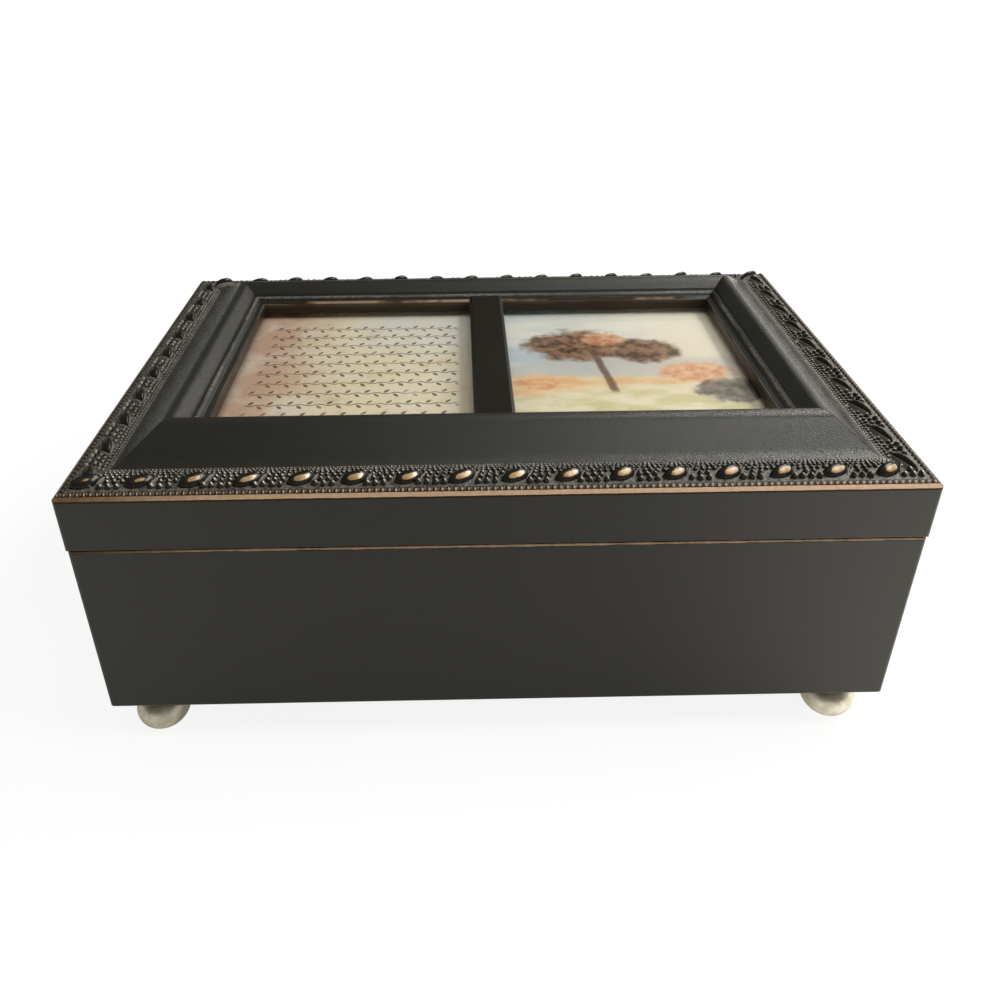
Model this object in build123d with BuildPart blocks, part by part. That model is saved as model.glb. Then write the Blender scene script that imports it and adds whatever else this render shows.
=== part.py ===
from build123d import *
from math import asin, cos, pi, radians, sin, tan
import os

# A keepsake music box: a painted case on four ball feet, a hinged lid that is a deep
# picture-frame moulding with two windows, and a wind-up eighteen-note movement inside.
# Millimetres. Z is up and z = 0 is the floor. The front faces -Y and the hinges are at +Y.

# Overall sizes
lid_width = 203.2
lid_depth = 128.8
lid_overhang = 0.3
case_height = 51.2
lid_gap = 0.4
rim_height = 10.4
wall = 12.0
corner_round = 1.2
edge_round = 0.6

# Ball feet
foot_height = 12.6
foot_diameter = 14.0
ball_height = 11.8
foot_flat = 0.5
neck_diameter = 8.4
foot_inset_side = 10.8
foot_inset_front = 7.1
stud_diameter = 3.0
stud_in_foot = 8.0
stud_in_wall = 9.0

# Bottom panel, linings and partitions
bottom_recess = 6.0
bottom_thickness = 3.0
groove_depth = 3.0
slot_clearance = 0.1
lining_thickness = 1.2
lining_below_edge = 3.0
partition_thickness = 5.0
partition_height = 36.0
bay_width = 50.1
bay_length = 57.9

# Clear cover over the movement
ledge_width = 4.0
ledge_height = 4.0
ledge_level = 28.4
cover_thickness = 2.0
cover_clearance = 0.3

# Frame moulding section, in from the lid's outer face and up from the rim
edge_height = 4.0
edge_chamfer = 0.8
band_height = 4.7
band_inset = 9.4
band_rise = 0.5
cove_inset = 12.6
cove_height = 6.75
slope_inset = 19.0
slope_height = 11.55
crest_inset = 21.2
crest_height = 12.5
brow_inset = 23.2
brow_height = 11.6
fall_inset = 25.0
fall_height = 9.85
bead_start = (25.3, 9.3)
bead_crown = (26.35, 9.05)
bead_end = (27.1, 8.1)
lip_start = (27.3, 7.9)
lip_height = 7.6
lip_round = 0.4
lip_underside = 4.5
rebate_inset = 24.6
sight_inset = 29.0

# Centre bar, glass and pictures
bar_width = 10.6
bar_edge = 0.9
bar_height = 4.3
bar_end_inset = 26.4
pane_thickness = 2.0
card_thickness = 0.4
backing_thickness = 2.1
pane_clearance = 0.3
point_thickness = 0.4
point_length = 9.0
point_width = 3.0
lid_lining_thickness = 1.5
lid_lining_drop = 0.5

# Stop hinges: the bevelled back edges meet when the lid is open this far
lid_travel = 100.0
bevel_clearance = 0.15
hinge_inset = 1.9
hinge_length = 25.4
hinge_spread = 124.0
barrel_diameter = 3.6
pin_diameter = 1.6
running_fit = 0.05
leaf_thickness = 0.9
leaf_width = 8.0
knuckle_gap = 0.3
hinge_screw_spacing = 15.0
hinge_screw_head = 3.2
hinge_screw_shank = 1.6
hinge_screw_length = 8.0
bumper_diameter = 7.0
bumper_gap = 0.1

# Movement: a cast bedplate with its spring housing, comb and wheels
bed_width = 40.0
bed_length = 55.4
bed_thickness = 2.6
bed_from_back = 1.7
axle_height = 10.5
drum_offset = -6.5
spring_offset = -14.0
sheet = 0.8
foot_sheet = 1.0
side_play = 0.5
comb_screw_radius = 1.0
comb_screw_length = 5.0
mount_screw_radius = 1.25
bracket_screw_radius = 0.7
housing_radius = 9.8
housing_height = 14.0
housing_wall = 0.8
arbor_radius = 2.6
key_stem_radius = 1.9
comb_teeth = 18
comb_pitch = 1.08
comb_thickness = 1.0
comb_slot = 0.3
comb_gap = 0.3
comb_seat_from_tip = 9.6
comb_seat_width = 9.0
bass_tooth = 10.4
treble_tooth = 6.4
drum_front = 0.8
drum_radius = 6.7
drum_length = 20.0
drum_end = 1.0
drum_wall = 0.8
drum_pin_height = 0.5
drum_pin_size = 0.4
drum_axle_radius = 1.25
fine_axle_radius = 0.5

# Wheel train: crown wheel to pinion, drum wheel to pinion, worm wheel to two-start worm
crown_teeth = 48
drum_pinion_teeth = 16
crown_module = 0.48
drum_wheel_teeth = 32
small_pinion_teeth = 8
wheel_module = 0.4
worm_wheel_teeth = 20
worm_starts = 2
worm_module = 0.5
worm_radius = 1.3
tooth_share = 0.36
pinion_thickness = 1.0
drum_wheel_thickness = 0.6
worm_wheel_thickness = 1.0
fan_reach = 3.6
fan_height = 2.4
fan_thickness = 0.4

# Winding key and stop rod
key_floor_gap = 2.8
key_wing_span = 21.0
key_wing_height = 8.6
key_plate = 2.0
key_hub_radius = 4.2
key_panel_gap = 1.0
stop_rod_radius = 0.8
stop_from_governor = 6.2
stop_gap = 0.3
stop_hole_clearance = 0.4

# Levels and places worked out from the sizes above
case_width = lid_width - 2 * lid_overhang
case_depth = lid_depth - 2 * lid_overhang
inner_width = case_width - 2 * wall
inner_depth = case_depth - 2 * wall
case_bottom = foot_height
case_top = case_bottom + case_height
lid_bottom = case_top + lid_gap
frame_base = lid_bottom + rim_height
hinge_y = lid_depth / 2 - hinge_inset
hinge_z = case_top + lid_gap / 2
panel_bottom = case_bottom + bottom_recess
floor_top = panel_bottom + bottom_thickness
lid_ceiling = frame_base - lid_lining_drop - lid_lining_thickness
right_face = inner_width / 2 - lining_thickness
back_face = inner_depth / 2 - lining_thickness
bay_left = right_face - bay_width
bay_front = back_face - bay_length
bed_x = bay_left + bay_width / 2
bed_y = back_face - bed_from_back - bed_length / 2
bed_top = floor_top + bed_thickness
axle_z = bed_top + axle_height
drum_x = bed_x + drum_offset
spring_x = drum_x
spring_y = bed_y + spring_offset
front_plate_y = bed_y - sheet
rear_plate_y = bed_y + drum_front + drum_length + side_play
drum_wheel_front = rear_plate_y + sheet + 0.2
governor_y = drum_wheel_front + drum_wheel_thickness + 2.0
outer_plate_y = governor_y + worm_radius + 0.65
small_x = drum_x - wheel_module * (drum_wheel_teeth + small_pinion_teeth) / 2
worm_x = small_x + worm_module * worm_wheel_teeth / 2 + worm_radius
stop_x = worm_x - stop_from_governor

os.makedirs("parts", exist_ok=True)
finished = []


def finish(part, name):
    """Label one finished piece and write it out."""
    part.label = name
    export_step(part, f"parts/{name}.step")
    finished.append(part)


# Boards and mouldings that meet in mitres
def side_frame(side, width, depth, level):
    """Section plane at the start of one side (x inward, y up, z along it) and the side's length."""
    turn = {"front": 0, "right": 90, "back": 180, "left": 270}[side]
    length, reach = (width, depth) if side in ("front", "back") else (depth, width)
    start = Vector(-length / 2, -reach / 2, level).rotate(Axis.Z, turn)
    inward = Vector(0, 1, 0).rotate(Axis.Z, turn)
    along = Vector(1, 0, 0).rotate(Axis.Z, turn)
    return Plane(origin=start, x_dir=inward, z_dir=along), length


def mitred_side(side, width, depth, level, outline):
    """One side of a rectangular frame: its outline drawn inward and up, cut to a mitre at each end."""
    section, length = side_frame(side, width, depth, level)
    far_end = section.origin + section.z_dir * length
    with BuildPart() as board:
        with BuildSketch(section):
            with BuildLine():
                outline()
            make_face()
        extrude(amount=length)
        split(bisect_by=Plane(origin=section.origin, z_dir=section.z_dir - section.x_dir), keep=Keep.TOP)
        split(bisect_by=Plane(origin=far_end, z_dir=-section.z_dir - section.x_dir), keep=Keep.TOP)
        height = board.part.bounding_box().max.Z - level
        with BuildSketch(Plane.XY.offset(level)):
            RectangleRounded(width, depth, corner_round)
        extrude(amount=height, mode=Mode.INTERSECT)
    return board.part


def case_outline():
    """Case wall: a plain board with its outer top edge eased and a groove for the bottom panel."""
    groove_low = bottom_recess
    groove_high = bottom_recess + bottom_thickness + slot_clearance
    groove_back = wall - groove_depth - slot_clearance
    Polyline(
        (0, case_height - edge_round),
        (0, 0),
        (wall, 0),
        (wall, groove_low),
        (groove_back, groove_low),
        (groove_back, groove_high),
        (wall, groove_high),
        (wall, case_height),
        (edge_round, case_height),
    )
    RadiusArc((edge_round, case_height), (0, case_height - edge_round), -edge_round)


def rim_outline():
    """Lid rim: a board as thick as the case wall, its outer bottom edge eased."""
    Polyline(
        (edge_round, 0),
        (wall, 0),
        (wall, rim_height),
        (0, rim_height),
        (0, edge_round),
    )
    RadiusArc((0, edge_round), (edge_round, 0), -edge_round)


def moulding_outline():
    """Frame moulding: worn edge, flat trim band, cove and slope, rounded crest, fall, bead and lip."""
    band_end = (band_inset, band_height + band_rise)
    cove_end = (cove_inset, cove_height)
    cove_middle = ((band_end[0] + cove_end[0]) / 2 + 0.1, (band_end[1] + cove_end[1]) / 2 - 0.225)
    slope_end = (slope_inset, slope_height)
    brow = (brow_inset, brow_height)
    Polyline(
        (rebate_inset, lip_underside),
        (rebate_inset, 0),
        (0, 0),
        (0, edge_height),
        (edge_chamfer, band_height),
        band_end,
    )
    ThreePointArc(band_end, cove_middle, cove_end)
    Line(cove_end, slope_end)
    ThreePointArc(slope_end, (crest_inset, crest_height), brow)
    Polyline(brow, (fall_inset, fall_height), bead_start)
    ThreePointArc(bead_start, bead_crown, bead_end)
    Polyline(bead_end, lip_start, (sight_inset - lip_round, lip_height))
    RadiusArc((sight_inset - lip_round, lip_height), (sight_inset, lip_height - lip_round), lip_round)
    Polyline(
        (sight_inset, lip_height - lip_round),
        (sight_inset, lip_underside),
        (rebate_inset, lip_underside),
    )


def back_bevel(up, back_face_y):
    """Bar that bevels a back edge, so that the open lid comes to rest on the case."""
    lean = radians(lid_travel / 2)
    edge = hinge_z + up * lid_gap / 2
    start = hinge_y + (lid_gap / 2 * cos(lean) - bevel_clearance) / sin(lean)
    beyond = back_face_y + 2.0
    reach = (beyond - start) * tan(lean)
    with BuildPart() as bar:
        with BuildSketch(Plane.YZ.offset(-lid_width / 2 - 1)):
            with BuildLine():
                Polyline(
                    (start, edge),
                    (beyond, edge + up * reach),
                    (beyond, edge - up * 1.0),
                    (start, edge - up * 1.0),
                    close=True,
                )
            make_face()
        extrude(amount=lid_width + 2)
    return bar.part


hinge_places = [-hinge_spread / 2, hinge_spread / 2]
leaf_back = hinge_y
leaf_front = hinge_y - barrel_diameter / 2 - leaf_width
leaf_middle = (leaf_front + leaf_back) / 2
leaf_length = leaf_back - leaf_front
seat_clearance = 0.1
barrel_clearance = 0.25
hinge_screw_places = [x + s * hinge_screw_spacing / 2 for x in hinge_places for s in (-1, 1)]
hinge_screw_y = leaf_front + leaf_width / 2


def hinge_seats(up):
    """Mortises for the leaves, grooves for the barrels and pilot holes for the screws."""
    seat_depth = leaf_thickness + running_fit - lid_gap / 2
    edge = hinge_z + up * lid_gap / 2
    with BuildPart() as seats:
        with Locations(*[(x, leaf_middle, edge + up * (seat_depth - 1) / 2) for x in hinge_places]):
            Box(hinge_length + 2 * seat_clearance, leaf_length + 2 * seat_clearance, seat_depth + 1)
        with Locations(*[(x, hinge_y, hinge_z) for x in hinge_places]):
            Cylinder(barrel_diameter / 2 + barrel_clearance, hinge_length + 0.6, rotation=(0, 90, 0))
        with Locations(*[(x, hinge_screw_y, edge) for x in hinge_screw_places]):
            Cylinder(hinge_screw_shank / 2, 2 * hinge_screw_length)
    return seats.part


# Case walls
foot_places = [
    (sx * (case_width / 2 - foot_inset_side), sy * (case_depth / 2 - foot_inset_front))
    for sx in (-1, 1)
    for sy in (-1, 1)
]
case_bevel = back_bevel(-1, case_depth / 2)
case_seats = hinge_seats(-1)

for side in ("front", "back", "left", "right"):
    with BuildPart() as case_wall:
        add(mitred_side(side, case_width, case_depth, case_bottom, case_outline))
        with Locations(*[(x, y, case_bottom) for x, y in foot_places]):
            Cylinder(stud_diameter / 2, 2 * stud_in_wall, mode=Mode.SUBTRACT)
        if side != "front":
            add(case_bevel, mode=Mode.SUBTRACT)
        if side == "back":
            add(case_seats, mode=Mode.SUBTRACT)
    finish(case_wall.part, f"case_{side}_wall")

# Bottom panel, let into the grooves, with the key hole and the movement's screw holes
key_hole_radius = 5.0
mount_screw_places = [(bed_x - 17, bed_y + 6), (bed_x + 16, bed_y - 22), (bed_x + 16, bed_y + 24)]
mount_hole_clearance = 0.15

with BuildPart() as bottom_panel:
    with BuildSketch(Plane.XY.offset(panel_bottom)):
        Rectangle(inner_width + 2 * groove_depth, inner_depth + 2 * groove_depth)
        with Locations((spring_x, spring_y)):
            Circle(key_hole_radius, mode=Mode.SUBTRACT)
        with Locations(*mount_screw_places):
            Circle(mount_screw_radius + mount_hole_clearance, mode=Mode.SUBTRACT)
    extrude(amount=bottom_thickness)
finish(bottom_panel.part, "bottom_panel")

# Ball feet with a short neck and a small worn flat, each on a threaded stud
with BuildPart() as ball_feet:
    with BuildSketch(Plane.XZ) as foot_section:
        with Locations((0, ball_height / 2 - foot_flat)):
            Ellipse(foot_diameter / 2, ball_height / 2)
        with Locations((0, foot_height - 2)):
            Rectangle(neck_diameter, 4)
        with Locations((0, 0)):
            Rectangle(foot_diameter, foot_height, align=(Align.MIN, Align.MIN), mode=Mode.INTERSECT)
        with Locations((0, foot_height)):
            Rectangle(stud_diameter, 2 * stud_in_foot, mode=Mode.SUBTRACT)
    foot = revolve(axis=Axis.Z, mode=Mode.PRIVATE)
    with Locations(*foot_places):
        add(foot)
finish(ball_feet.part, "ball_feet")

with BuildPart() as foot_studs:
    with Locations(*[(x, y, foot_height - stud_in_foot) for x, y in foot_places]):
        Cylinder(
            stud_diameter / 2,
            stud_in_foot + stud_in_wall,
            align=(Align.CENTER, Align.CENTER, Align.MIN),
        )
finish(foot_studs.part, "foot_studs")

# Felt linings: four boards against the walls and one on the floor of each compartment
lining_top = case_top - lining_below_edge
lining_height = lining_top - floor_top


def lining(side):
    """Felt-covered board that stands against one case wall."""
    with BuildPart() as board:
        if side in ("front", "back"):
            sign = -1 if side == "front" else 1
            centre = (0, sign * (inner_depth - lining_thickness) / 2)
            size = (inner_width, lining_thickness)
        else:
            sign = -1 if side == "left" else 1
            centre = (sign * (inner_width - lining_thickness) / 2, 0)
            size = (lining_thickness, inner_depth - 2 * lining_thickness)
        with BuildSketch(Plane.XY.offset(floor_top)):
            with Locations(centre):
                Rectangle(*size)
        extrude(amount=lining_height)
    return board.part


for side in ("front", "back", "left", "right"):
    finish(lining(side), f"{side}_lining")

partition_left = bay_left - partition_thickness
with BuildPart() as long_partition:
    with BuildSketch(Plane.XY.offset(floor_top)):
        with Locations((partition_left, 0)):
            Rectangle(partition_thickness, 2 * back_face, align=(Align.MIN, Align.CENTER))
    extrude(amount=partition_height)
    fillet(long_partition.edges().group_by(Axis.Z)[-1].filter_by(Axis.Y), 1.2)
finish(long_partition.part, "long_partition")

with BuildPart() as cross_partition:
    with BuildSketch(Plane.XY.offset(floor_top)):
        with Locations((bay_left, bay_front)):
            Rectangle(bay_width, partition_thickness, align=(Align.MIN, Align.MAX))
    extrude(amount=partition_height)
    fillet(cross_partition.edges().group_by(Axis.Z)[-1].filter_by(Axis.X), 1.2)
finish(cross_partition.part, "cross_partition")

small_front = bay_front - partition_thickness
with BuildPart() as floor_linings:
    with BuildSketch(Plane.XY.offset(floor_top)):
        with Locations((-right_face, -back_face)):
            Rectangle(right_face + partition_left, 2 * back_face, align=(Align.MIN, Align.MIN))
        with Locations((bay_left, -back_face)):
            Rectangle(bay_width, small_front + back_face, align=(Align.MIN, Align.MIN))
    extrude(amount=lining_thickness)
finish(floor_linings.part, "floor_linings")

# Ledges and the clear cover that lies on them, over the movement
ledge_bottom = floor_top + ledge_level - ledge_height
with BuildPart() as cover_ledges:
    with BuildSketch(Plane.XY.offset(ledge_bottom)):
        with Locations((bay_left, bay_front)):
            Rectangle(ledge_width, bay_length, align=(Align.MIN, Align.MIN))
        with Locations((right_face, bay_front)):
            Rectangle(ledge_width, bay_length, align=(Align.MAX, Align.MIN))
    extrude(amount=ledge_height)
finish(cover_ledges.part, "cover_ledges")

with BuildPart() as movement_cover:
    with BuildSketch(Plane.XY.offset(floor_top + ledge_level)):
        with Locations(((bay_left + right_face) / 2, (bay_front + back_face) / 2)):
            Rectangle(bay_width - 2 * cover_clearance, bay_length - 2 * cover_clearance)
        with Locations((stop_x, governor_y)):
            Circle(stop_rod_radius + stop_hole_clearance, mode=Mode.SUBTRACT)
    extrude(amount=cover_thickness)
finish(movement_cover.part, "movement_cover")

# Felt bumpers on the front corners of the case, which hold the lid just clear
with BuildPart() as lid_bumpers:
    with Locations(*[(s * (case_width - wall) / 2, (wall - case_depth) / 2, case_top) for s in (-1, 1)]):
        Cylinder(bumper_diameter / 2, lid_gap - bumper_gap, align=(Align.CENTER, Align.CENTER, Align.MIN))
finish(lid_bumpers.part, "lid_bumpers")

# Hinges: the case leaf has the two outer knuckles and the lid leaf the middle one
knuckle = (hinge_length - 2 * knuckle_gap) / 3


def hinge_leaves(up, outer_knuckles):
    """A leaf with its knuckles for each hinge, countersunk for two screws."""
    own = [-(knuckle + knuckle_gap), knuckle + knuckle_gap] if outer_knuckles else [0]
    other = [0] if outer_knuckles else [-(knuckle + knuckle_gap), knuckle + knuckle_gap]
    leaf_low = min(up * running_fit, up * (running_fit + leaf_thickness))
    head_face = hinge_z + up * running_fit
    with BuildPart() as leaves:
        with Locations(*[(x, leaf_front, hinge_z + leaf_low) for x in hinge_places]):
            Box(hinge_length, leaf_length, leaf_thickness, align=(Align.CENTER, Align.MIN, Align.MIN))
        with Locations(*[(x, hinge_y, hinge_z) for x in hinge_places]):
            with Locations(*[(offset, 0, 0) for offset in other]):
                Cylinder(
                    barrel_diameter / 2 + 0.2,
                    knuckle + 2 * knuckle_gap,
                    rotation=(0, 90, 0),
                    mode=Mode.SUBTRACT,
                )
        with Locations(*[(x, hinge_y, hinge_z) for x in hinge_places]):
            with Locations(*[(offset, 0, 0) for offset in own]):
                Cylinder(barrel_diameter / 2, knuckle, rotation=(0, 90, 0))
        with Locations(*[(x, hinge_y, hinge_z) for x in hinge_places]):
            Cylinder(
                pin_diameter / 2 + running_fit,
                hinge_length + 2,
                rotation=(0, 90, 0),
                mode=Mode.SUBTRACT,
            )
        lean = 90 * (1 + up)
        with Locations(*[Location((x, hinge_screw_y, head_face), (lean, 0, 0)) for x in hinge_screw_places]):
            CounterSinkHole(hinge_screw_shank / 2, hinge_screw_head / 2, depth=3, counter_sink_angle=90)
    return leaves.part


def hinge_screws(up):
    """Small countersunk wood screws, two to a leaf, their heads flush with it."""
    cone = (hinge_screw_head - hinge_screw_shank) / 2
    with BuildPart() as screws:
        for x in hinge_screw_places:
            head_face = Plane(origin=(x, hinge_screw_y, hinge_z + up * running_fit), z_dir=(0, 0, up))
            with BuildSketch(head_face):
                Circle(hinge_screw_head / 2)
            with BuildSketch(head_face.offset(cone)):
                Circle(hinge_screw_shank / 2)
            loft()
            with BuildSketch(head_face):
                Circle(hinge_screw_shank / 2)
            extrude(amount=hinge_screw_length)
    return screws.part


finish(hinge_leaves(-1, True), "case_hinge_leaves")
finish(hinge_screws(-1), "case_hinge_screws")
with BuildPart() as hinge_pins:
    with Locations(*[(x, hinge_y, hinge_z) for x in hinge_places]):
        Cylinder(pin_diameter / 2, hinge_length, rotation=(0, 90, 0))
finish(hinge_pins.part, "hinge_pins")

# Lid: four rim boards under four mitred lengths of frame moulding
lid_bevel = back_bevel(1, lid_depth / 2)
lid_seats = hinge_seats(1)
for side in ("front", "back", "left", "right"):
    with BuildPart() as rim:
        add(mitred_side(side, lid_width, lid_depth, lid_bottom, rim_outline))
        if side != "front":
            add(lid_bevel, mode=Mode.SUBTRACT)
        if side == "back":
            add(lid_seats, mode=Mode.SUBTRACT)
    finish(rim.part, f"lid_{side}_rim")

rails = {
    side: mitred_side(side, lid_width, lid_depth, frame_base, moulding_outline)
    for side in ("front", "back", "left", "right")
}
for side, rail in rails.items():
    finish(rail, f"frame_{side}_rail")

# Centre bar between the two windows, its ends coped over the lips of the front and back rails
with BuildPart() as centre_bar:
    with BuildSketch(Plane.XZ.offset(-(lid_depth / 2 - bar_end_inset))):
        with Locations((0, frame_base + lip_underside)):
            Rectangle(bar_width, bar_height, align=(Align.CENTER, Align.MIN))
    extrude(amount=lid_depth - 2 * bar_end_inset)
    chamfer(centre_bar.edges().group_by(Axis.Z)[-1].filter_by(Axis.Y), bar_edge)
    add(rails["front"], mode=Mode.SUBTRACT)
    add(rails["back"], mode=Mode.SUBTRACT)
finish(centre_bar.part, "centre_bar")

# Glass, picture cards, backing board and the points that hold it
pane_outer = lid_width / 2 - rebate_inset - pane_clearance
pane_half_depth = lid_depth / 2 - rebate_inset - pane_clearance
pane_bottom = frame_base + lip_underside - pane_thickness
card_bottom = pane_bottom - card_thickness


def window_sheet(sign, bottom, thickness):
    """Sheet that fills one window's rebate, from the middle of the bar outward."""
    with BuildPart() as sheet:
        with BuildSketch(Plane.XY.offset(bottom)):
            with Locations((sign * (pane_clearance + pane_outer) / 2, 0)):
                Rectangle(pane_outer - pane_clearance, 2 * pane_half_depth)
        extrude(amount=thickness)
    return sheet.part


for side, sign in (("left", -1), ("right", 1)):
    finish(window_sheet(sign, pane_bottom, pane_thickness), f"{side}_pane")
    finish(window_sheet(sign, card_bottom, card_thickness), f"{side}_picture_card")

with BuildPart() as backing_board:
    with BuildSketch(Plane.XY.offset(card_bottom - backing_thickness)):
        Rectangle(2 * pane_outer, 2 * pane_half_depth)
    extrude(amount=backing_thickness)
finish(backing_board.part, "backing_board")

with BuildPart() as retaining_points:
    with BuildSketch(Plane.XY.offset(frame_base - point_thickness)):
        for sx in (-1, 1):
            with Locations((sx * (lid_width / 2 - rebate_inset), 0)):
                Rectangle(point_length, point_width)
            for sy in (-1, 1):
                with Locations((sx * lid_width / 5, sy * (lid_depth / 2 - rebate_inset))):
                    Rectangle(point_width, point_length)
    extrude(amount=point_thickness)
finish(retaining_points.part, "retaining_points")

with BuildPart() as lid_lining:
    with BuildSketch(Plane.XY.offset(lid_ceiling)):
        Rectangle(lid_width - 2 * wall - 0.2, lid_depth - 2 * wall - 0.2)
    extrude(amount=lid_lining_thickness)
finish(lid_lining.part, "lid_lining")

finish(hinge_leaves(1, False), "lid_hinge_leaves")
finish(hinge_screws(1), "lid_hinge_screws")


# Toothed wheels
def toothed_outline(teeth, pitch_radius, module, phase):
    """Closed outline of a wheel with straight-sided teeth, the first one at the phase angle."""
    root = pitch_radius - 1.05 * module
    tip = pitch_radius + 0.75 * module
    half_root = asin(0.62 * tooth_share * pi * module / root)
    half_tip = asin(0.34 * tooth_share * pi * module / tip)
    points = []
    for tooth in range(teeth):
        middle = radians(phase) + 2 * pi * tooth / teeth
        for radius, angle in (
            (root, middle - half_root),
            (tip, middle - half_tip),
            (tip, middle + half_tip),
            (root, middle + half_root),
        ):
            points.append((radius * cos(angle), radius * sin(angle)))
    Polyline(*points, close=True)


def across(x, y):
    """Plane square to the axles that faces the back, centred on the axle at x. Its own x runs to -X."""
    return Plane(origin=(x, y, axle_z), x_dir=(-1, 0, 0), z_dir=(0, 1, 0))


crown_radius = crown_module * crown_teeth / 2
drum_pinion_radius = crown_module * drum_pinion_teeth / 2
drum_wheel_radius = wheel_module * drum_wheel_teeth / 2
small_pinion_radius = wheel_module * small_pinion_teeth / 2
worm_wheel_radius = worm_module * worm_wheel_teeth / 2

# Bedplate with a raised seat for the comb
comb_tip = drum_x + drum_radius + drum_pin_height + comb_gap
seat_left = comb_tip + comb_seat_from_tip
comb_y = bed_y + drum_front + drum_length / 2
comb_screw_x = seat_left + comb_seat_width / 2 + 0.3
comb_screw_places = [(comb_screw_x, comb_y - 6), (comb_screw_x, comb_y + 6)]
bracket_screw_places = [
    (drum_x, front_plate_y + 3.8),
    (bed_x - 11.0, rear_plate_y - 2.7),
    (bed_x - 4.6, outer_plate_y - 1.8),
]
with BuildPart() as movement_bedplate:
    with BuildSketch(Plane.XY.offset(floor_top)):
        with Locations((bed_x, bed_y)):
            RectangleRounded(bed_width, bed_length, 3)
        with Locations((spring_x, spring_y)):
            Circle(key_stem_radius + running_fit, mode=Mode.SUBTRACT)
        with Locations(*mount_screw_places):
            Circle(mount_screw_radius, mode=Mode.SUBTRACT)
    extrude(amount=bed_thickness)
    with BuildSketch(Plane.XY.offset(bed_top)):
        with Locations((seat_left + comb_seat_width / 2, comb_y)):
            RectangleRounded(comb_seat_width, drum_length, 1)
    extrude(amount=axle_height - comb_thickness / 2, taper=2)
    with Locations(*[(x, y, axle_z) for x, y in comb_screw_places]):
        Cylinder(comb_screw_radius, 12, mode=Mode.SUBTRACT)
    with Locations(*[(x, y, bed_top) for x, y in bracket_screw_places]):
        Cylinder(bracket_screw_radius, 4, mode=Mode.SUBTRACT)
finish(movement_bedplate.part, "movement_bedplate")

# Spring housing and the mainspring coiled in it round the winding arbor
with BuildPart() as spring_housing:
    with BuildSketch(Plane.XY.offset(bed_top)):
        with Locations((spring_x, spring_y)):
            Circle(housing_radius)
    extrude(amount=housing_height)
    with BuildSketch(Plane.XY.offset(bed_top)):
        with Locations((spring_x, spring_y)):
            Circle(housing_radius - housing_wall)
    extrude(amount=housing_height - housing_wall, mode=Mode.SUBTRACT)
    with Locations((spring_x, spring_y, bed_top)):
        Cylinder(arbor_radius + running_fit, 3 * housing_height, mode=Mode.SUBTRACT)
finish(spring_housing.part, "spring_housing")

spring_turns = 6
spring_bends = 20
spring_strip = 0.35
spring_end_gap = 1.0
spring_inner = arbor_radius + 0.4
spring_outer = housing_radius - housing_wall - spring_strip - 0.2


def spiral_points(offset):
    """Points along one face of the coiled strip, evenly spaced round each turn."""
    count = spring_bends * spring_turns
    growth = (spring_outer - spring_inner) / count
    points = []
    for step in range(count + 1):
        radius = spring_inner + offset + growth * step
        angle = 2 * pi * step / spring_bends
        points.append((radius * cos(angle), radius * sin(angle)))
    return points


with BuildPart() as mainspring:
    with BuildSketch(Plane(origin=(spring_x, spring_y, bed_top + spring_end_gap))):
        with BuildLine():
            Polyline(*spiral_points(0), *reversed(spiral_points(spring_strip)), close=True)
        make_face()
    extrude(amount=housing_height - housing_wall - 2 * spring_end_gap)
finish(mainspring.part, "mainspring")

# Comb: steel teeth cut from one plate, the bass teeth longer than the treble
comb_first = comb_y - comb_pitch * comb_teeth / 2
with BuildPart() as comb:
    with BuildSketch(Plane.XY.offset(axle_z - comb_thickness / 2)):
        with Locations((comb_tip, comb_first)):
            Rectangle(
                seat_left + comb_seat_width - comb_tip,
                comb_pitch * comb_teeth,
                align=(Align.MIN, Align.MIN),
            )
        for gap in range(1, comb_teeth):
            slot_length = bass_tooth - (bass_tooth - treble_tooth) * gap / comb_teeth
            with Locations((comb_tip - 1, comb_first + gap * comb_pitch)):
                Rectangle(slot_length + 1, comb_slot, align=(Align.MIN, Align.CENTER), mode=Mode.SUBTRACT)
        with Locations(*comb_screw_places):
            Circle(comb_screw_radius, mode=Mode.SUBTRACT)
    extrude(amount=comb_thickness)
finish(comb.part, "comb")


def cheese_screws(places, seat_level, shank_radius, shank_length, up=1):
    """Cheese-headed machine screws that stand on one level."""
    head_radius = 2 * shank_radius
    head_height = shank_radius + 0.1
    with BuildPart() as screws:
        for x, y in places:
            with BuildSketch(Plane(origin=(x, y, seat_level), z_dir=(0, 0, up))):
                Circle(head_radius)
            extrude(amount=head_height)
            with BuildSketch(Plane(origin=(x, y, seat_level), z_dir=(0, 0, up))):
                Circle(shank_radius)
            extrude(amount=-shank_length)
    return screws.part


comb_top = axle_z + comb_thickness / 2
finish(cheese_screws(comb_screw_places, comb_top, comb_screw_radius, comb_screw_length), "comb_screws")
mount_screw_length = bottom_thickness + bed_thickness
finish(
    cheese_screws(mount_screw_places, panel_bottom, mount_screw_radius, mount_screw_length, -1),
    "mounting_screws",
)

# Sheet-metal brackets that carry the axles
bracket_top = 3.0
bracket_right = bed_x - 1.5
bracket_left = small_x - 3.0


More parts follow.
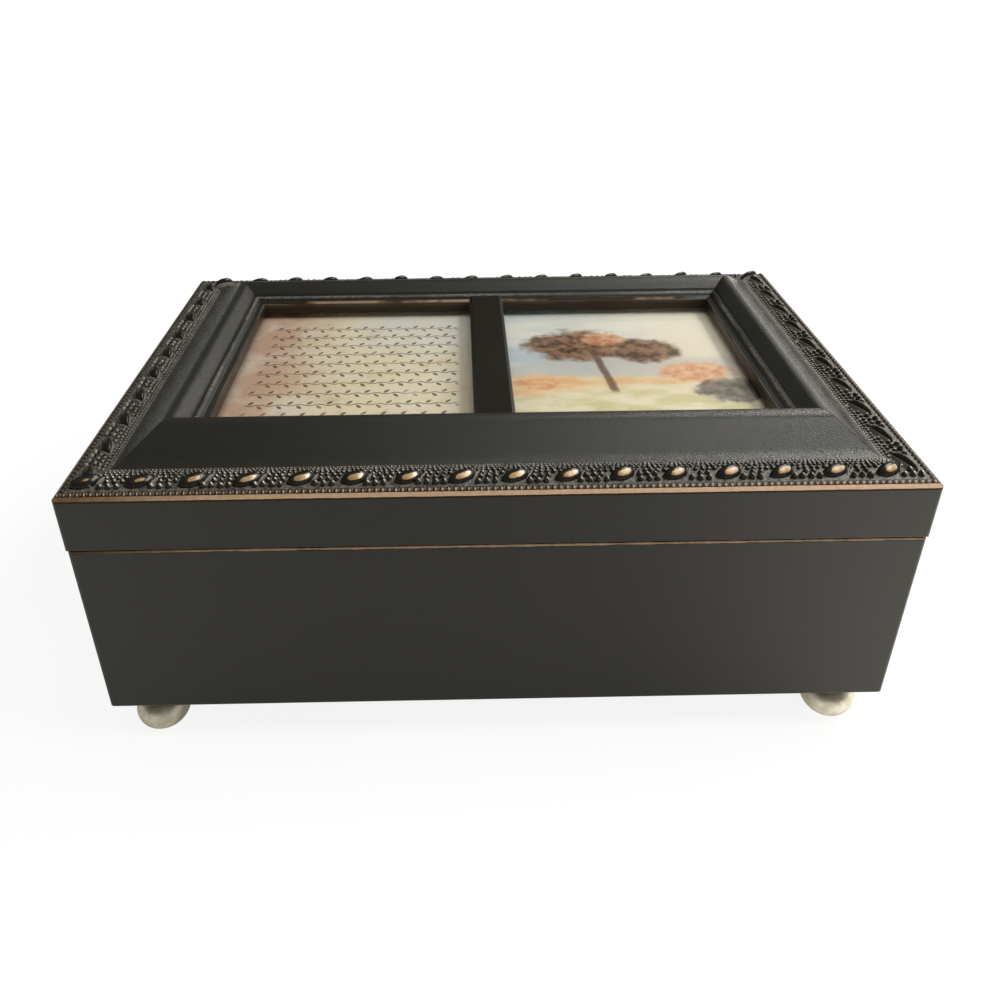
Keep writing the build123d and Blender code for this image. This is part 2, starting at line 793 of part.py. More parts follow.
def bearing_bracket(plate_y, low_x, high_x, top, foot_from, foot_to, axles):
    """Upright plate with bearing holes for the axles, on a foot that is screwed to the bedplate."""
    with BuildPart() as bracket:
        with BuildSketch(across(low_x, plate_y)):
            with Locations((0, -axle_height)):
                Rectangle(high_x - low_x, axle_height + top, align=(Align.MAX, Align.MIN))
            for x, radius in axles:
                with Locations((low_x - x, 0)):
                    Circle(radius + running_fit, mode=Mode.SUBTRACT)
        extrude(amount=sheet)
        with BuildSketch(Plane.XY.offset(bed_top)):
            with Locations((low_x, foot_from)):
                Rectangle(high_x - low_x, foot_to - foot_from, align=(Align.MIN, Align.MIN))
        extrude(amount=foot_sheet)
        with Locations(*[(x, y, bed_top) for x, y in bracket_screw_places]):
            Cylinder(bracket_screw_radius, 2 * foot_sheet + 1, mode=Mode.SUBTRACT)
    return bracket.part


drum_bearing = (drum_x, drum_axle_radius)
small_bearing = (small_x, fine_axle_radius)
finish(
    bearing_bracket(
        front_plate_y,
        drum_x - 5.0,
        bracket_right,
        bracket_top,
        front_plate_y,
        front_plate_y + 5.8,
        [drum_bearing],
    ),
    "front_bearing_bracket",
)
finish(
    bearing_bracket(
        rear_plate_y,
        bracket_left,
        bracket_right,
        bracket_top,
        rear_plate_y - 4.8,
        rear_plate_y + sheet,
        [drum_bearing, small_bearing],
    ),
    "rear_bearing_bracket",
)

# Governor bracket: outer plate, two arms for the worm's pivots and a lug that guides the stop rod
arm_inner = governor_y - 1.5
arm_length = outer_plate_y - arm_inner
arm_width = 4.4
worm_arm_low = axle_z - 7.1
worm_arm_high = axle_z + 3.9
plate_rise = worm_arm_high + sheet - axle_z
guide_level = axle_z + 6.3
with BuildPart() as governor_bracket:
    add(
        bearing_bracket(
            outer_plate_y,
            bracket_left,
            bracket_right - 0.5,
            plate_rise,
            outer_plate_y - 3.4,
            outer_plate_y + sheet,
            [small_bearing],
        )
    )
    for level in (worm_arm_low, worm_arm_high):
        with BuildSketch(Plane.XY.offset(level)):
            with Locations((worm_x, arm_inner)):
                Rectangle(arm_width, arm_length, align=(Align.CENTER, Align.MIN))
            with Locations((worm_x, governor_y)):
                Circle(fine_axle_radius + running_fit, mode=Mode.SUBTRACT)
        extrude(amount=sheet)
    with BuildSketch(across(stop_x, outer_plate_y)):
        upright_low = plate_rise - 0.5
        upright_high = guide_level + sheet - axle_z
        with Locations((0, upright_low)):
            Rectangle(arm_width, upright_high - upright_low, align=(Align.CENTER, Align.MIN))
    extrude(amount=sheet)
    with BuildSketch(Plane.XY.offset(guide_level)):
        with Locations((stop_x, arm_inner)):
            Rectangle(arm_width, arm_length, align=(Align.CENTER, Align.MIN))
        with Locations((stop_x, governor_y)):
            Circle(stop_rod_radius + running_fit, mode=Mode.SUBTRACT)
    extrude(amount=sheet)
finish(governor_bracket.part, "governor_bracket")
bracket_seat = bed_top + foot_sheet
bracket_screw_length = foot_sheet + 2
finish(
    cheese_screws(bracket_screw_places, bracket_seat, bracket_screw_radius, bracket_screw_length),
    "bracket_screws",
)

# Winding key, arbor and crown wheel
crown_pitch_level = axle_z + drum_pinion_radius
crown_root_level = crown_pitch_level + 1.05 * crown_module
crown_tip_level = crown_pitch_level - 0.75 * crown_module
crown_disc = 1.2
crown_ring_inner = crown_radius - 1.0
crown_ring_outer = crown_radius + 1.0
tooth_start = Vector(spring_x, spring_y + crown_ring_inner, crown_root_level + 0.1)
with BuildPart() as crown_wheel:
    with BuildSketch(Plane.XY.offset(crown_root_level)):
        with Locations((spring_x, spring_y)):
            Circle(crown_ring_outer)
            Circle(arbor_radius, mode=Mode.SUBTRACT)
            with PolarLocations(crown_radius * 0.58, 5):
                Circle(2.0, mode=Mode.SUBTRACT)
    extrude(amount=crown_disc)
    with BuildSketch(Plane(origin=tooth_start, x_dir=(1, 0, 0), z_dir=(0, 1, 0))):
        with BuildLine():
            half_root = 0.62 * tooth_share * pi * crown_module
            half_tip = 0.34 * tooth_share * pi * crown_module
            drop = tooth_start.Z - crown_tip_level
            Polyline((-half_root, 0), (half_root, 0), (half_tip, drop), (-half_tip, drop), close=True)
        make_face()
    tooth = extrude(amount=crown_ring_outer - crown_ring_inner - 0.1, mode=Mode.PRIVATE)
    for number in range(crown_teeth):
        turned = tooth.rotate(Axis((spring_x, spring_y, 0), (0, 0, 1)), 360 * number / crown_teeth)
        add(turned)
finish(crown_wheel.part, "crown_wheel")

key_hub_top = panel_bottom - key_panel_gap
key_hub_bottom = key_floor_gap + key_wing_height - 1.6
key_bore_depth = 4.0
arbor_top = crown_root_level + crown_disc + 1.3
with BuildPart() as winding_arbor:
    with BuildSketch(Plane.XY.offset(key_hub_top - key_bore_depth)):
        with Locations((spring_x, spring_y)):
            Circle(key_stem_radius)
    extrude(amount=bed_top - key_hub_top + key_bore_depth)
    with BuildSketch(Plane.XY.offset(bed_top + running_fit)):
        with Locations((spring_x, spring_y)):
            Circle(arbor_radius)
    extrude(amount=arbor_top - bed_top - running_fit)
    with BuildSketch(Plane.XY.offset(bed_top)):
        with Locations((spring_x, spring_y)):
            Circle(key_stem_radius)
    extrude(amount=1.0)
finish(winding_arbor.part, "winding_arbor")

with BuildPart() as winding_key:
    with BuildSketch(Plane.XY.offset(key_hub_bottom)):
        with Locations((spring_x, spring_y)):
            Circle(key_hub_radius)
    extrude(amount=key_hub_top - key_hub_bottom)
    fillet(winding_key.edges().group_by(Axis.Z)[0], 1.0)
    wing_middle = (spring_x, spring_y + key_plate / 2, key_floor_gap + key_wing_height / 2)
    with BuildSketch(Plane(origin=wing_middle, x_dir=(1, 0, 0), z_dir=(0, -1, 0))):
        with Locations((-key_wing_span / 4, 0), (key_wing_span / 4, 0)):
            Ellipse(key_wing_span / 4 + 0.6, key_wing_height / 2)
    extrude(amount=key_plate)
    with BuildSketch(Plane.XY.offset(key_hub_top)):
        with Locations((spring_x, spring_y)):
            Circle(key_stem_radius)
    extrude(amount=-key_bore_depth, mode=Mode.SUBTRACT)
finish(winding_key.part, "winding_key")

# Pinned drum on its axle, with the pinion that the crown wheel drives and the drum wheel
drum_start = bed_y + drum_front
with BuildPart() as pinned_drum:
    with BuildSketch(across(drum_x, drum_start)):
        Circle(drum_radius)
        Circle(drum_axle_radius, mode=Mode.SUBTRACT)
    extrude(amount=drum_length)
    with BuildSketch(across(drum_x, drum_start)):
        Circle(drum_radius - drum_wall)
        Circle(drum_axle_radius, mode=Mode.SUBTRACT)
    extrude(amount=drum_length - drum_end, mode=Mode.SUBTRACT)
    # The tune: a bass note on each beat and a rising and falling run above it
    beats = 24
    for beat in range(beats):
        for tooth in (beat * 5 % 7, 7 + abs(beat % 12 - 6) + (beat // 12) * 3):
            turn = 360 * (beat + 0.5) / beats
            pin_plane = across(drum_x, comb_first + (tooth + 0.5) * comb_pitch)
            pin_place = pin_plane * Location((0, 0, 0), (0, 0, turn)) * Location((drum_radius, 0, 0))
            with Locations(pin_place):
                Box(2 * drum_pin_height, drum_pin_size, drum_pin_size)
finish(pinned_drum.part, "pinned_drum")

pinion_front = spring_y + crown_radius - pinion_thickness / 2
axle_beyond = 0.2
with BuildPart() as drum_axle:
    with BuildSketch(across(drum_x, pinion_front - axle_beyond)):
        Circle(drum_axle_radius)
    extrude(amount=drum_wheel_front + drum_wheel_thickness - pinion_front + axle_beyond)
finish(drum_axle.part, "drum_axle")

with BuildPart() as drum_pinion:
    with BuildSketch(across(drum_x, pinion_front)):
        with BuildLine():
            gap_up = 90 + 180 / drum_pinion_teeth
            toothed_outline(drum_pinion_teeth, drum_pinion_radius, crown_module, gap_up)
        make_face()
        Circle(drum_axle_radius, mode=Mode.SUBTRACT)
    extrude(amount=pinion_thickness)
finish(drum_pinion.part, "drum_pinion")

with BuildPart() as drum_wheel:
    with BuildSketch(across(drum_x, drum_wheel_front)):
        with BuildLine():
            toothed_outline(drum_wheel_teeth, drum_wheel_radius, wheel_module, 0)
        make_face()
        Circle(drum_axle_radius, mode=Mode.SUBTRACT)
        with PolarLocations(drum_wheel_radius * 0.56, 5):
            Circle(1.2, mode=Mode.SUBTRACT)
    extrude(amount=drum_wheel_thickness)
finish(drum_wheel.part, "drum_wheel")

# Intermediate axle: a small pinion driven by the drum wheel and the worm wheel that drives the governor
with BuildPart() as intermediate_pinion:
    with BuildSketch(across(small_x, rear_plate_y)):
        Circle(fine_axle_radius)
    extrude(amount=outer_plate_y + sheet - rear_plate_y)
    with BuildSketch(across(small_x, drum_wheel_front - 0.1)):
        with BuildLine():
            gap_right = 180 + 180 / small_pinion_teeth
            toothed_outline(small_pinion_teeth, small_pinion_radius, wheel_module, gap_right)
        make_face()
    extrude(amount=drum_wheel_thickness + 0.4)
finish(intermediate_pinion.part, "intermediate_pinion")

with BuildPart() as worm_wheel:
    with BuildSketch(across(small_x, governor_y - worm_wheel_thickness / 2)):
        with BuildLine():
            toothed_outline(worm_wheel_teeth, worm_wheel_radius, worm_module, 180)
        make_face()
        Circle(fine_axle_radius, mode=Mode.SUBTRACT)
    extrude(amount=worm_wheel_thickness)
finish(worm_wheel.part, "worm_wheel")

# Governor: a two-start worm whose shaft carries the air brake
worm_pitch = pi * worm_module
worm_lead = worm_starts * worm_pitch
worm_root = worm_radius - 1.0 * worm_module
worm_tip = worm_radius + 0.7 * worm_module
thread_root_half = 0.18 * worm_pitch
thread_tip_half = 0.10 * worm_pitch
worm_length = 2 * worm_lead
worm_bottom = axle_z - worm_length / 2
fan_bottom = guide_level + sheet + 1.0
with BuildPart() as governor_worm:
    with BuildSketch(Plane((worm_x, governor_y, worm_arm_low))):
        Circle(fine_axle_radius)
    extrude(amount=fan_bottom + fan_height - worm_arm_low)
    with BuildSketch(Plane((worm_x, governor_y, worm_bottom - 0.4))):
        Circle(worm_root)
    extrude(amount=worm_length + 0.8)
    with BuildLine(Plane((worm_x, governor_y, worm_bottom))) as thread_path:
        Helix(pitch=worm_lead, height=worm_length, radius=worm_root - 0.1)
    with BuildSketch(Plane(origin=thread_path.line @ 0, x_dir=(1, 0, 0), z_dir=thread_path.line % 0)):
        with BuildLine():
            thread_height = worm_tip - worm_root + 0.1
            Polyline(
                (0, -thread_root_half),
                (thread_height, -thread_tip_half),
                (thread_height, thread_tip_half),
                (0, thread_root_half),
                close=True,
            )
        make_face()
    thread = sweep(path=thread_path.line, is_frenet=True, mode=Mode.PRIVATE)
    # A thread gap faces the worm wheel, whose nearest tooth stands at the axle's level
    for start in range(worm_starts):
        turn = 180 + 360 * (start + 0.5) / worm_starts
        add(thread.rotate(Axis((worm_x, governor_y, 0), (0, 0, 1)), turn))
finish(governor_worm.part, "governor_worm")

with BuildPart() as air_brake:
    with BuildSketch(Plane((worm_x, governor_y, fan_bottom))):
        Circle(1.1)
        Rectangle(2 * fan_reach, fan_thickness)
        Circle(fine_axle_radius, mode=Mode.SUBTRACT)
    extrude(amount=fan_height)
finish(air_brake.part, "air_brake")

# Stop rod: the closed lid holds it down, and its finger then rests just over the air brake
rod_bottom = guide_level - 0.6
rod_top = lid_ceiling - stop_gap
finger_radius = 0.5
finger_z = fan_bottom + fan_height + stop_gap + finger_radius
with BuildPart() as stop_rod:
    with BuildSketch(Plane((stop_x, governor_y, rod_bottom))):
        Circle(stop_rod_radius)
    extrude(amount=rod_top - rod_bottom)
    fillet(stop_rod.edges().group_by(Axis.Z)[-1], 0.6)
    with BuildSketch(Plane(origin=(stop_x, governor_y, finger_z), z_dir=(1, 0, 0))):
        Circle(finger_radius)
    extrude(amount=worm_x - stop_x + 0.6)
finish(stop_rod.part, "stop_rod")

whole = Compound(children=finished)
box = whole.bounding_box()
print("pieces", len(finished))
print("size", box.size.X, box.size.Y, box.size.Z, "lowest", box.min.Z)
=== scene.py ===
import math
from functools import reduce

import bpy
from mathutils import Matrix, Vector


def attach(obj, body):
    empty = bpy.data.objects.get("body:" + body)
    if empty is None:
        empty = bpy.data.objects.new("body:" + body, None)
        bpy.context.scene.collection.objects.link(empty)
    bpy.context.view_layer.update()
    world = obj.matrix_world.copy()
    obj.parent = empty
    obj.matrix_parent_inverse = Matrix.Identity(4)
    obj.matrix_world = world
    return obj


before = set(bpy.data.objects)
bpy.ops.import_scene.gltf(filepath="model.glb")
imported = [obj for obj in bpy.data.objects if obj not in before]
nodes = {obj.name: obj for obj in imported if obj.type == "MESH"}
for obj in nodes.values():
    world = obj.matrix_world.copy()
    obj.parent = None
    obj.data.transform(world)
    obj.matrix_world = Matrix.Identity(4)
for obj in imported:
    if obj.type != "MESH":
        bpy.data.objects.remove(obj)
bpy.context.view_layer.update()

mm = 0.001


# Camera and stage
# The box was photographed from a little left of its middle and cut out on white, so floor and
# surroundings are white to the camera. In reflections they are white too, but dimmer upwards,
# to the left and close by, as in a room with a window at the right and another far behind.
def add_node(tree, kind, inputs=None, **settings):
    """A shader or geometry node, each socket given a value or linked to another node's output."""
    made = tree.nodes.new(kind)
    for name, value in settings.items():
        setattr(made, name, value)
    for name, value in (inputs or {}).items():
        socket = made.inputs[name]
        if isinstance(value, bpy.types.NodeSocket):
            tree.links.new(value, socket)
        else:
            socket.default_value = value
    return made


def new_material(name):
    """A material with nothing in it but its output, and its node tree."""
    material = bpy.data.materials.new(name)
    material.use_nodes = True
    material.node_tree.nodes.clear()
    return material, material.node_tree


def maths(tree, operation, first, second=0.0, third=0.0):
    """Output of one Math node."""
    sockets = {0: first, 1: second, 2: third}
    return add_node(tree, "ShaderNodeMath", sockets, operation=operation).outputs[0]


def times(tree, *factors):
    """Factors multiplied together."""
    return reduce(lambda first, second: maths(tree, "MULTIPLY", first, second), factors)


def plus(tree, *terms):
    """Terms added together."""
    return reduce(lambda first, second: maths(tree, "ADD", first, second), terms)


def minus(tree, first, second):
    """The first value less the second."""
    return maths(tree, "SUBTRACT", first, second)


def most(tree, *values):
    """The greatest of some values."""
    return reduce(lambda first, second: maths(tree, "MAXIMUM", first, second), values)


def ramp(tree, value, low, high, to_low=0.0, to_high=1.0):
    """Value mapped smoothly from one range to another and held at its ends."""
    spread = add_node(
        tree,
        "ShaderNodeMapRange",
        {"Value": value, "From Min": low, "From Max": high, "To Min": to_low, "To Max": to_high},
        interpolation_type="SMOOTHSTEP",
    )
    return spread.outputs[0]


def by_ray(tree, plain, reflected, seen_direct):
    """One surface to diffuse rays, another mirrored or through glass, a third to the camera."""
    ray = add_node(tree, "ShaderNodeLightPath").outputs
    mirrored = most(tree, ray["Is Glossy Ray"], ray["Is Transmission Ray"])
    mixed = add_node(tree, "ShaderNodeMixShader", {0: mirrored, 1: plain, 2: reflected}).outputs[0]
    sockets = {0: ray["Is Camera Ray"], 1: mixed, 2: seen_direct}
    return add_node(tree, "ShaderNodeMixShader", sockets).outputs[0]


picture_pixels = 1000
focal_pixels = 852.16
axis_across_pixels = 469.73
axis_down_pixels = 349.03
camera_place = Vector((-8.50, -221.16, 196.02)) * mm
yaw = math.radians(0.69)
pitch = math.radians(27.07)
roll = math.radians(-0.51)
forward = Vector((math.sin(yaw) * math.cos(pitch), math.cos(yaw) * math.cos(pitch), -math.sin(pitch)))
level_right = Vector((math.cos(yaw), -math.sin(yaw), 0.0))
level_up = level_right.cross(forward)
camera_right = math.cos(roll) * level_right + math.sin(roll) * level_up
camera_up = -math.sin(roll) * level_right + math.cos(roll) * level_up

camera_data = bpy.data.cameras.new("camera")
camera_data.sensor_width = 36.0
camera_data.lens = camera_data.sensor_width * focal_pixels / picture_pixels
camera_data.shift_x = 0.5 - axis_across_pixels / picture_pixels
camera_data.shift_y = axis_down_pixels / picture_pixels - 0.5
camera_data.clip_start = 0.01
camera = bpy.data.objects.new("camera", camera_data)
turned = Matrix((camera_right, camera_up, -forward)).transposed().to_4x4()
camera.matrix_world = Matrix.Translation(camera_place) @ turned
bpy.context.scene.collection.objects.link(camera)
bpy.context.scene.camera = camera
bpy.context.scene.view_settings.view_transform = "Standard"

floor_mesh = bpy.data.meshes.new("floor")
floor_mesh.from_pydata([(-4, -4, 0), (4, -4, 0), (4, 4, 0), (-4, 4, 0)], [], [(0, 1, 2, 3)])
floor = bpy.data.objects.new("floor", floor_mesh)
bpy.context.scene.collection.objects.link(floor)
floor_paint, tree = new_material("floor_white")
pale = add_node(tree, "ShaderNodeBsdfDiffuse", {"Color": (0.80, 0.79, 0.77, 1)}).outputs[0]
lit = add_node(tree, "ShaderNodeBsdfDiffuse", {"Color": (0.20, 0.20, 0.20, 1)}).outputs[0]
on_floor = add_node(tree, "ShaderNodeTexCoord").outputs["Object"]
away = add_node(tree, "ShaderNodeVectorMath", {0: on_floor}, operation="LENGTH").outputs["Value"]
level = ramp(tree, away, 0.16, 0.60, 0.86, 1.0)
glow = add_node(tree, "ShaderNodeEmission", {"Color": (1, 1, 1, 1), "Strength": level}).outputs[0]
white = add_node(tree, "ShaderNodeAddShader", {0: lit, 1: glow}).outputs[0]
sideways = add_node(tree, "ShaderNodeSeparateXYZ", {0: on_floor}).outputs[0]
toward_window = ramp(tree, sideways, 0.03, 0.17, 0.03, 0.95)
from_window = ramp(tree, sideways, -0.17, -0.04, 0.22, 0.0)
level = plus(tree, toward_window, from_window)
glow = add_node(tree, "ShaderNodeEmission", {"Color": (1.0, 0.98, 0.84, 1), "Strength": level})
mirrored = add_node(tree, "ShaderNodeAddShader", {0: pale, 1: glow.outputs[0]}).outputs[0]
add_node(tree, "ShaderNodeOutputMaterial", {"Surface": by_ray(tree, pale, mirrored, white)})
floor_mesh.materials.append(floor_paint)

world = bpy.data.worlds.new("studio")
bpy.context.scene.world = world
world.use_nodes = True
tree = world.node_tree
tree.nodes.clear()
toward = add_node(tree, "ShaderNodeTexCoord").outputs["Generated"]
toward = add_node(tree, "ShaderNodeSeparateXYZ", {0: toward}).outputs


def across_room(axis, low, high, to_low, to_high):
    """A smooth change of brightness along one axis of the room, from -1 to 1 round the box."""
    return ramp(tree, toward[axis], low, high, to_low, to_high)


walls = times(
    tree,
    across_room(2, -0.04, 0.36, 1.0, 0.22),
    across_room(1, -0.75, 0.0, 0.45, 1.0),
    across_room(1, 0.20, 0.80, 1.0, 0.20),
    across_room(0, -0.80, -0.20, 0.50, 1.0),
)
far_window = times(
    tree,
    across_room(0, 0.12, 0.50, 0.0, 1.25),
    across_room(1, 0.05, 0.60, 0.0, 1.0),
    across_room(2, 0.05, 0.25, 0.0, 1.0),
)
far_corner = times(
    tree,
    across_room(0, -0.50, -0.22, 0.60, 0.0),
    across_room(1, 0.40, 0.75, 0.0, 1.0),
    across_room(2, 0.18, 0.32, 0.0, 1.0),
    across_room(2, 0.38, 0.54, 1.0, 0.0),
)
level = plus(tree, walls, far_window, far_corner)
room = ((1.0, 0.99, 0.93, 1), 0.14)
mirrored_walls = ((1.0, 0.98, 0.86, 1), level)
white = ((1, 1, 1, 1), 1.0)
skies = [
    add_node(tree, "ShaderNodeBackground", {"Color": colour, "Strength": strength}).outputs[0]
    for colour, strength in (room, mirrored_walls, white)
]
add_node(tree, "ShaderNodeOutputWorld", {"Surface": by_ray(tree, *skies)})


def area_light(name, place, target, size, power, mirrored=True):
    """A soft oblong lamp that faces a point, its second side running front to back."""
    lamp = bpy.data.lights.new(name, "AREA")
    lamp.shape = "RECTANGLE"
    lamp.size, lamp.size_y = size
    lamp.energy = power
    lamp.color = (1.0, 0.99, 0.96)
    holder = bpy.data.objects.new(name, lamp)
    backward = (Vector(place) - Vector(target)).normalized()
    across = (Vector((1, 0, 0)) - backward * backward.x).normalized()
    turned = Matrix((across, backward.cross(across), backward)).transposed().to_4x4()
    holder.matrix_world = Matrix.Translation(place) @ turned
    holder.visible_glossy = mirrored
    bpy.context.scene.collection.objects.link(holder)


area_light("window_lamp", (0.62, 0.10, 0.80), (0.05, 0, 0.06), (0.38, 0.92), 7.4)
area_light("ceiling_lamp", (0.0, -0.05, 1.50), (0, 0, 0.06), (1.0, 1.0), 5.2, mirrored=False)
area_light("front_lamp", (0.55, -0.95, 0.45), (0, 0, 0.04), (0.6, 0.5), 4.2, mirrored=False)


# Painted case walls
# Four mitred boards under satin black paint. The paint is rubbed through to a copper undercoat
# along the eased top edge, and to an olive gold down the corners and along the foot of the walls.
def noise(tree, place, scale, detail=3.0, roughness=0.55):
    """Noise from 0 to 1 at this many waves to the metre."""
    made = add_node(
        tree,
        "ShaderNodeTexNoise",
        {"Vector": place, "Scale": scale, "Detail": detail, "Roughness": roughness},
    )
    return made.outputs[0]


def blend(tree, share, first, second):
    """Two colours mixed by a share."""
    made = add_node(tree, "ShaderNodeMix", data_type="RGBA")
    for socket, value in ((made.inputs[0], share), (made.inputs[6], first), (made.inputs[7], second)):
        if isinstance(value, bpy.types.NodeSocket):
            tree.links.new(value, socket)
        else:
            socket.default_value = value
    return made.outputs[2]


def places(tree):
    """Object coordinates whole, and their x, y and z."""
    place = add_node(tree, "ShaderNodeTexCoord").outputs["Object"]
    split = add_node(tree, "ShaderNodeSeparateXYZ", {0: place})
    return place, split.outputs[0], split.outputs[1], split.outputs[2]


def bump(tree, strength, distance, height):
    """A normal that follows the small heights of a pattern."""
    sockets = {"Strength": strength, "Distance": distance, "Height": height}
    return add_node(tree, "ShaderNodeBump", sockets).outputs[0]


def principled(tree, sockets):
    """Ends a material in a Principled shader with these sockets set or linked."""
    shader = add_node(tree, "ShaderNodeBsdfPrincipled", sockets)
    add_node(tree, "ShaderNodeOutputMaterial", {"Surface": shader.outputs[0]})


def ragged(tree, place, scale, depth):
    """A small uneven distance that breaks up the edge of a worn patch."""
    return times(tree, minus(tree, noise(tree, place, scale, 3), 0.5), depth)


def worn_line(tree, first, second, uneven, full, gone):
    """Wear along the line where two distances are both near nothing."""
    away = plus(tree, most(tree, first, second), uneven)
    return ramp(tree, away, full, gone, 1.0, 0.0)


def inset(tree, half, x, y):
    """Distances in from the side faces and from the front and back faces of a box."""
    from_side = minus(tree, half[0], maths(tree, "ABSOLUTE", x))
    from_face = minus(tree, half[1], maths(tree, "ABSOLUTE", y))
    return from_side, from_face


def front_share(tree, half, x, y):
    """One on the front of a box, up to the mitres of its corners, and nothing elsewhere."""
    from_side, from_face = inset(tree, half, x, y)
    in_mitre = ramp(tree, minus(tree, from_side, from_face), -0.4 * mm, 0.4 * mm)
    return times(tree, in_mitre, maths(tree, "LESS_THAN", y, 0.0))


def extents(name):
    """Lowest and highest corner of a CAD node."""
    corners = nodes[name].bound_box
    return Vector(corners[0]), Vector(corners[6])


lid_top_low = extents("frame_front_rail")[0].z + 3.9 * mm


def black_paint(name, wear_of, pale=(0.23, 0.19, 0.11, 1), peel=0.12, satin=0.38, shine=0.40):
    """Black paint with orange peel and dust, browned, and worn to copper and to a pale undercoat. Where
    the moulding asks, the brown is also painted shade and the pale is also painted highlight glints.

    Peel, satin and shine are those of the lid's top; lower down they are the same everywhere.
    """
    material, tree = new_material(name)
    place, x, y, z = places(tree)
    copper_wear_and_shade, pale_wear_and_glints = wear_of(tree, place, x, y, z)
    cloud = noise(tree, place, 22, 3)
    paint = blend(tree, cloud, (0.0115, 0.0110, 0.0088, 1), (0.0175, 0.0168, 0.0138, 1))
    sockets = {"Vector": place, "Scale": 150.0, "Randomness": 1.0}
    flecks = add_node(tree, "ShaderNodeTexVoronoi", sockets)
    rare = add_node(tree, "ShaderNodeSeparateColor", {0: flecks.outputs["Color"]})
    fleck = maths(tree, "LESS_THAN", flecks.outputs["Distance"], times(tree, rare.outputs[1], 0.05))
    dust = times(tree, fleck, maths(tree, "GREATER_THAN", rare.outputs[0], 0.90))
    paint = blend(tree, times(tree, dust, 0.35), paint, (0.30, 0.29, 0.26, 1))
    fine = noise(tree, place, 900, 3, 0.65)
    pale_tint = blend(tree, fine, (pale[0] * 0.6, pale[1] * 0.6, pale[2] * 0.6, 1), pale)
    # The pale share is worn undercoat, and on the moulding also painted highlight glints.
    colour = blend(tree, pale_wear_and_glints, paint, pale_tint)
    # The brown is stain, and on the moulding's inner faces also painted shade.
    brown = ramp(tree, copper_wear_and_shade, 0.03, 0.45)
    colour = blend(tree, brown, colour, (0.027, 0.0155, 0.007, 1))
    along = ramp(tree, plus(tree, x, ragged(tree, place, 12, 30 * mm)), -108 * mm, -50 * mm)
    copper = blend(tree, along, (0.115, 0.068, 0.030, 1), (0.52, 0.335, 0.205, 1))
    bright = ramp(tree, fine, 0.35, 0.75, 0.0, 0.5)
    bright = times(tree, bright, ramp(tree, along, 0.0, 1.0, 0.25, 1.0))
    copper = blend(tree, bright, copper, (0.66, 0.47, 0.33, 1))
    bare = ramp(tree, copper_wear_and_shade, 0.50, 0.80)
    stain_and_shade = minus(tree, brown, bare)
    colour = blend(tree, bare, colour, copper)
    grain = noise(tree, place, 3600, 2, 0.6)
    on_top = ramp(tree, z, lid_top_low, lid_top_low + 0.7 * mm)
    gloss = plus(tree, ramp(tree, on_top, 0.0, 1.0, 0.38, satin), times(tree, cloud, 0.10))
    gloss = plus(tree, gloss, times(tree, bare, 0.05))
    bumped = bump(tree, ramp(tree, on_top, 0.0, 1.0, 0.12, peel), 0.0002, grain)
    dulled = ramp(tree, stain_and_shade, 0.0, 1.0, 1.0, 0.2)
    shine = times(tree, ramp(tree, on_top, 0.0, 1.0, 0.40, shine), dulled)
    sockets = {"Base Color": colour, "Roughness": gloss, "Metallic": times(tree, bare, 0.25)}
    principled(tree, {**sockets, "Specular IOR Level": shine, "Normal": bumped})
    return material


def paint_nodes(material, *names):
    """Gives CAD nodes this material."""
    for name in names:
        for slot in nodes[name].material_slots:
            slot.material = material


front_low, front_high = extents("case_front_wall")
case_half = (-extents("case_left_wall")[0].x, -front_low.y)
case_foot = front_low.z
case_top = front_high.z


def case_wear(tree, place, x, y, z):
    """Rubbed edges of the case."""
    uneven = ragged(tree, place, 260, 0.40 * mm)
    from_side, from_face = inset(tree, case_half, x, y)
    outside = maths(tree, "MINIMUM", from_side, from_face)
    top = worn_line(tree, outside, minus(tree, case_top, z), uneven, 0.26 * mm, 0.52 * mm)
    chipped = ragged(tree, place, 150, 0.7 * mm)
    corner = worn_line(tree, from_side, from_face, chipped, 0.15 * mm, 0.85 * mm)
    foot = worn_line(tree, outside, minus(tree, z, case_foot), uneven, 0.02 * mm, 0.25 * mm)
    pale = most(tree, corner, foot)
    left_corner = times(tree, corner, ramp(tree, x, -20 * mm, 20 * mm, 0.66, 0.0))
    return most(tree, top, left_corner), times(tree, pale, 0.75)


case_paint = black_paint("case_paint", case_wear)
paint_nodes(case_paint, "case_front_wall", "case_back_wall", "case_left_wall", "case_right_wall")


# Lid rim
# Four boards like the case walls, in the same paint. The bottom edge of the lid is rubbed less
# than the top of the case, so its line is a thin broken brown.
front_low = extents("lid_front_rim")[0]
lid_half = (-extents("lid_left_rim")[0].x, -front_low.y)
lid_low = front_low.z


def rim_wear(tree, place, x, y, z):
    """Rubbed edges of the lid rim."""
    from_side, from_face = inset(tree, lid_half, x, y)
    outside = maths(tree, "MINIMUM", from_side, from_face)
    above = minus(tree, z, lid_low)
    low = worn_line(tree, outside, above, ragged(tree, place, 180, 0.7 * mm), 0.05 * mm, 0.50 * mm)
    chipped = ragged(tree, place, 150, 0.7 * mm)
    corner = worn_line(tree, from_side, from_face, chipped, 0.10 * mm, 0.85 * mm)
    left_corner = times(tree, corner, ramp(tree, x, -20 * mm, 20 * mm, 0.62, 0.0))
    low = times(tree, low, 0.62)
    return most(tree, low, left_corner), times(tree, corner, 0.8)


rim_paint = black_paint("rim_paint", rim_wear)
paint_nodes(rim_paint, "lid_front_rim", "lid_back_rim", "lid_left_rim", "lid_right_rim")


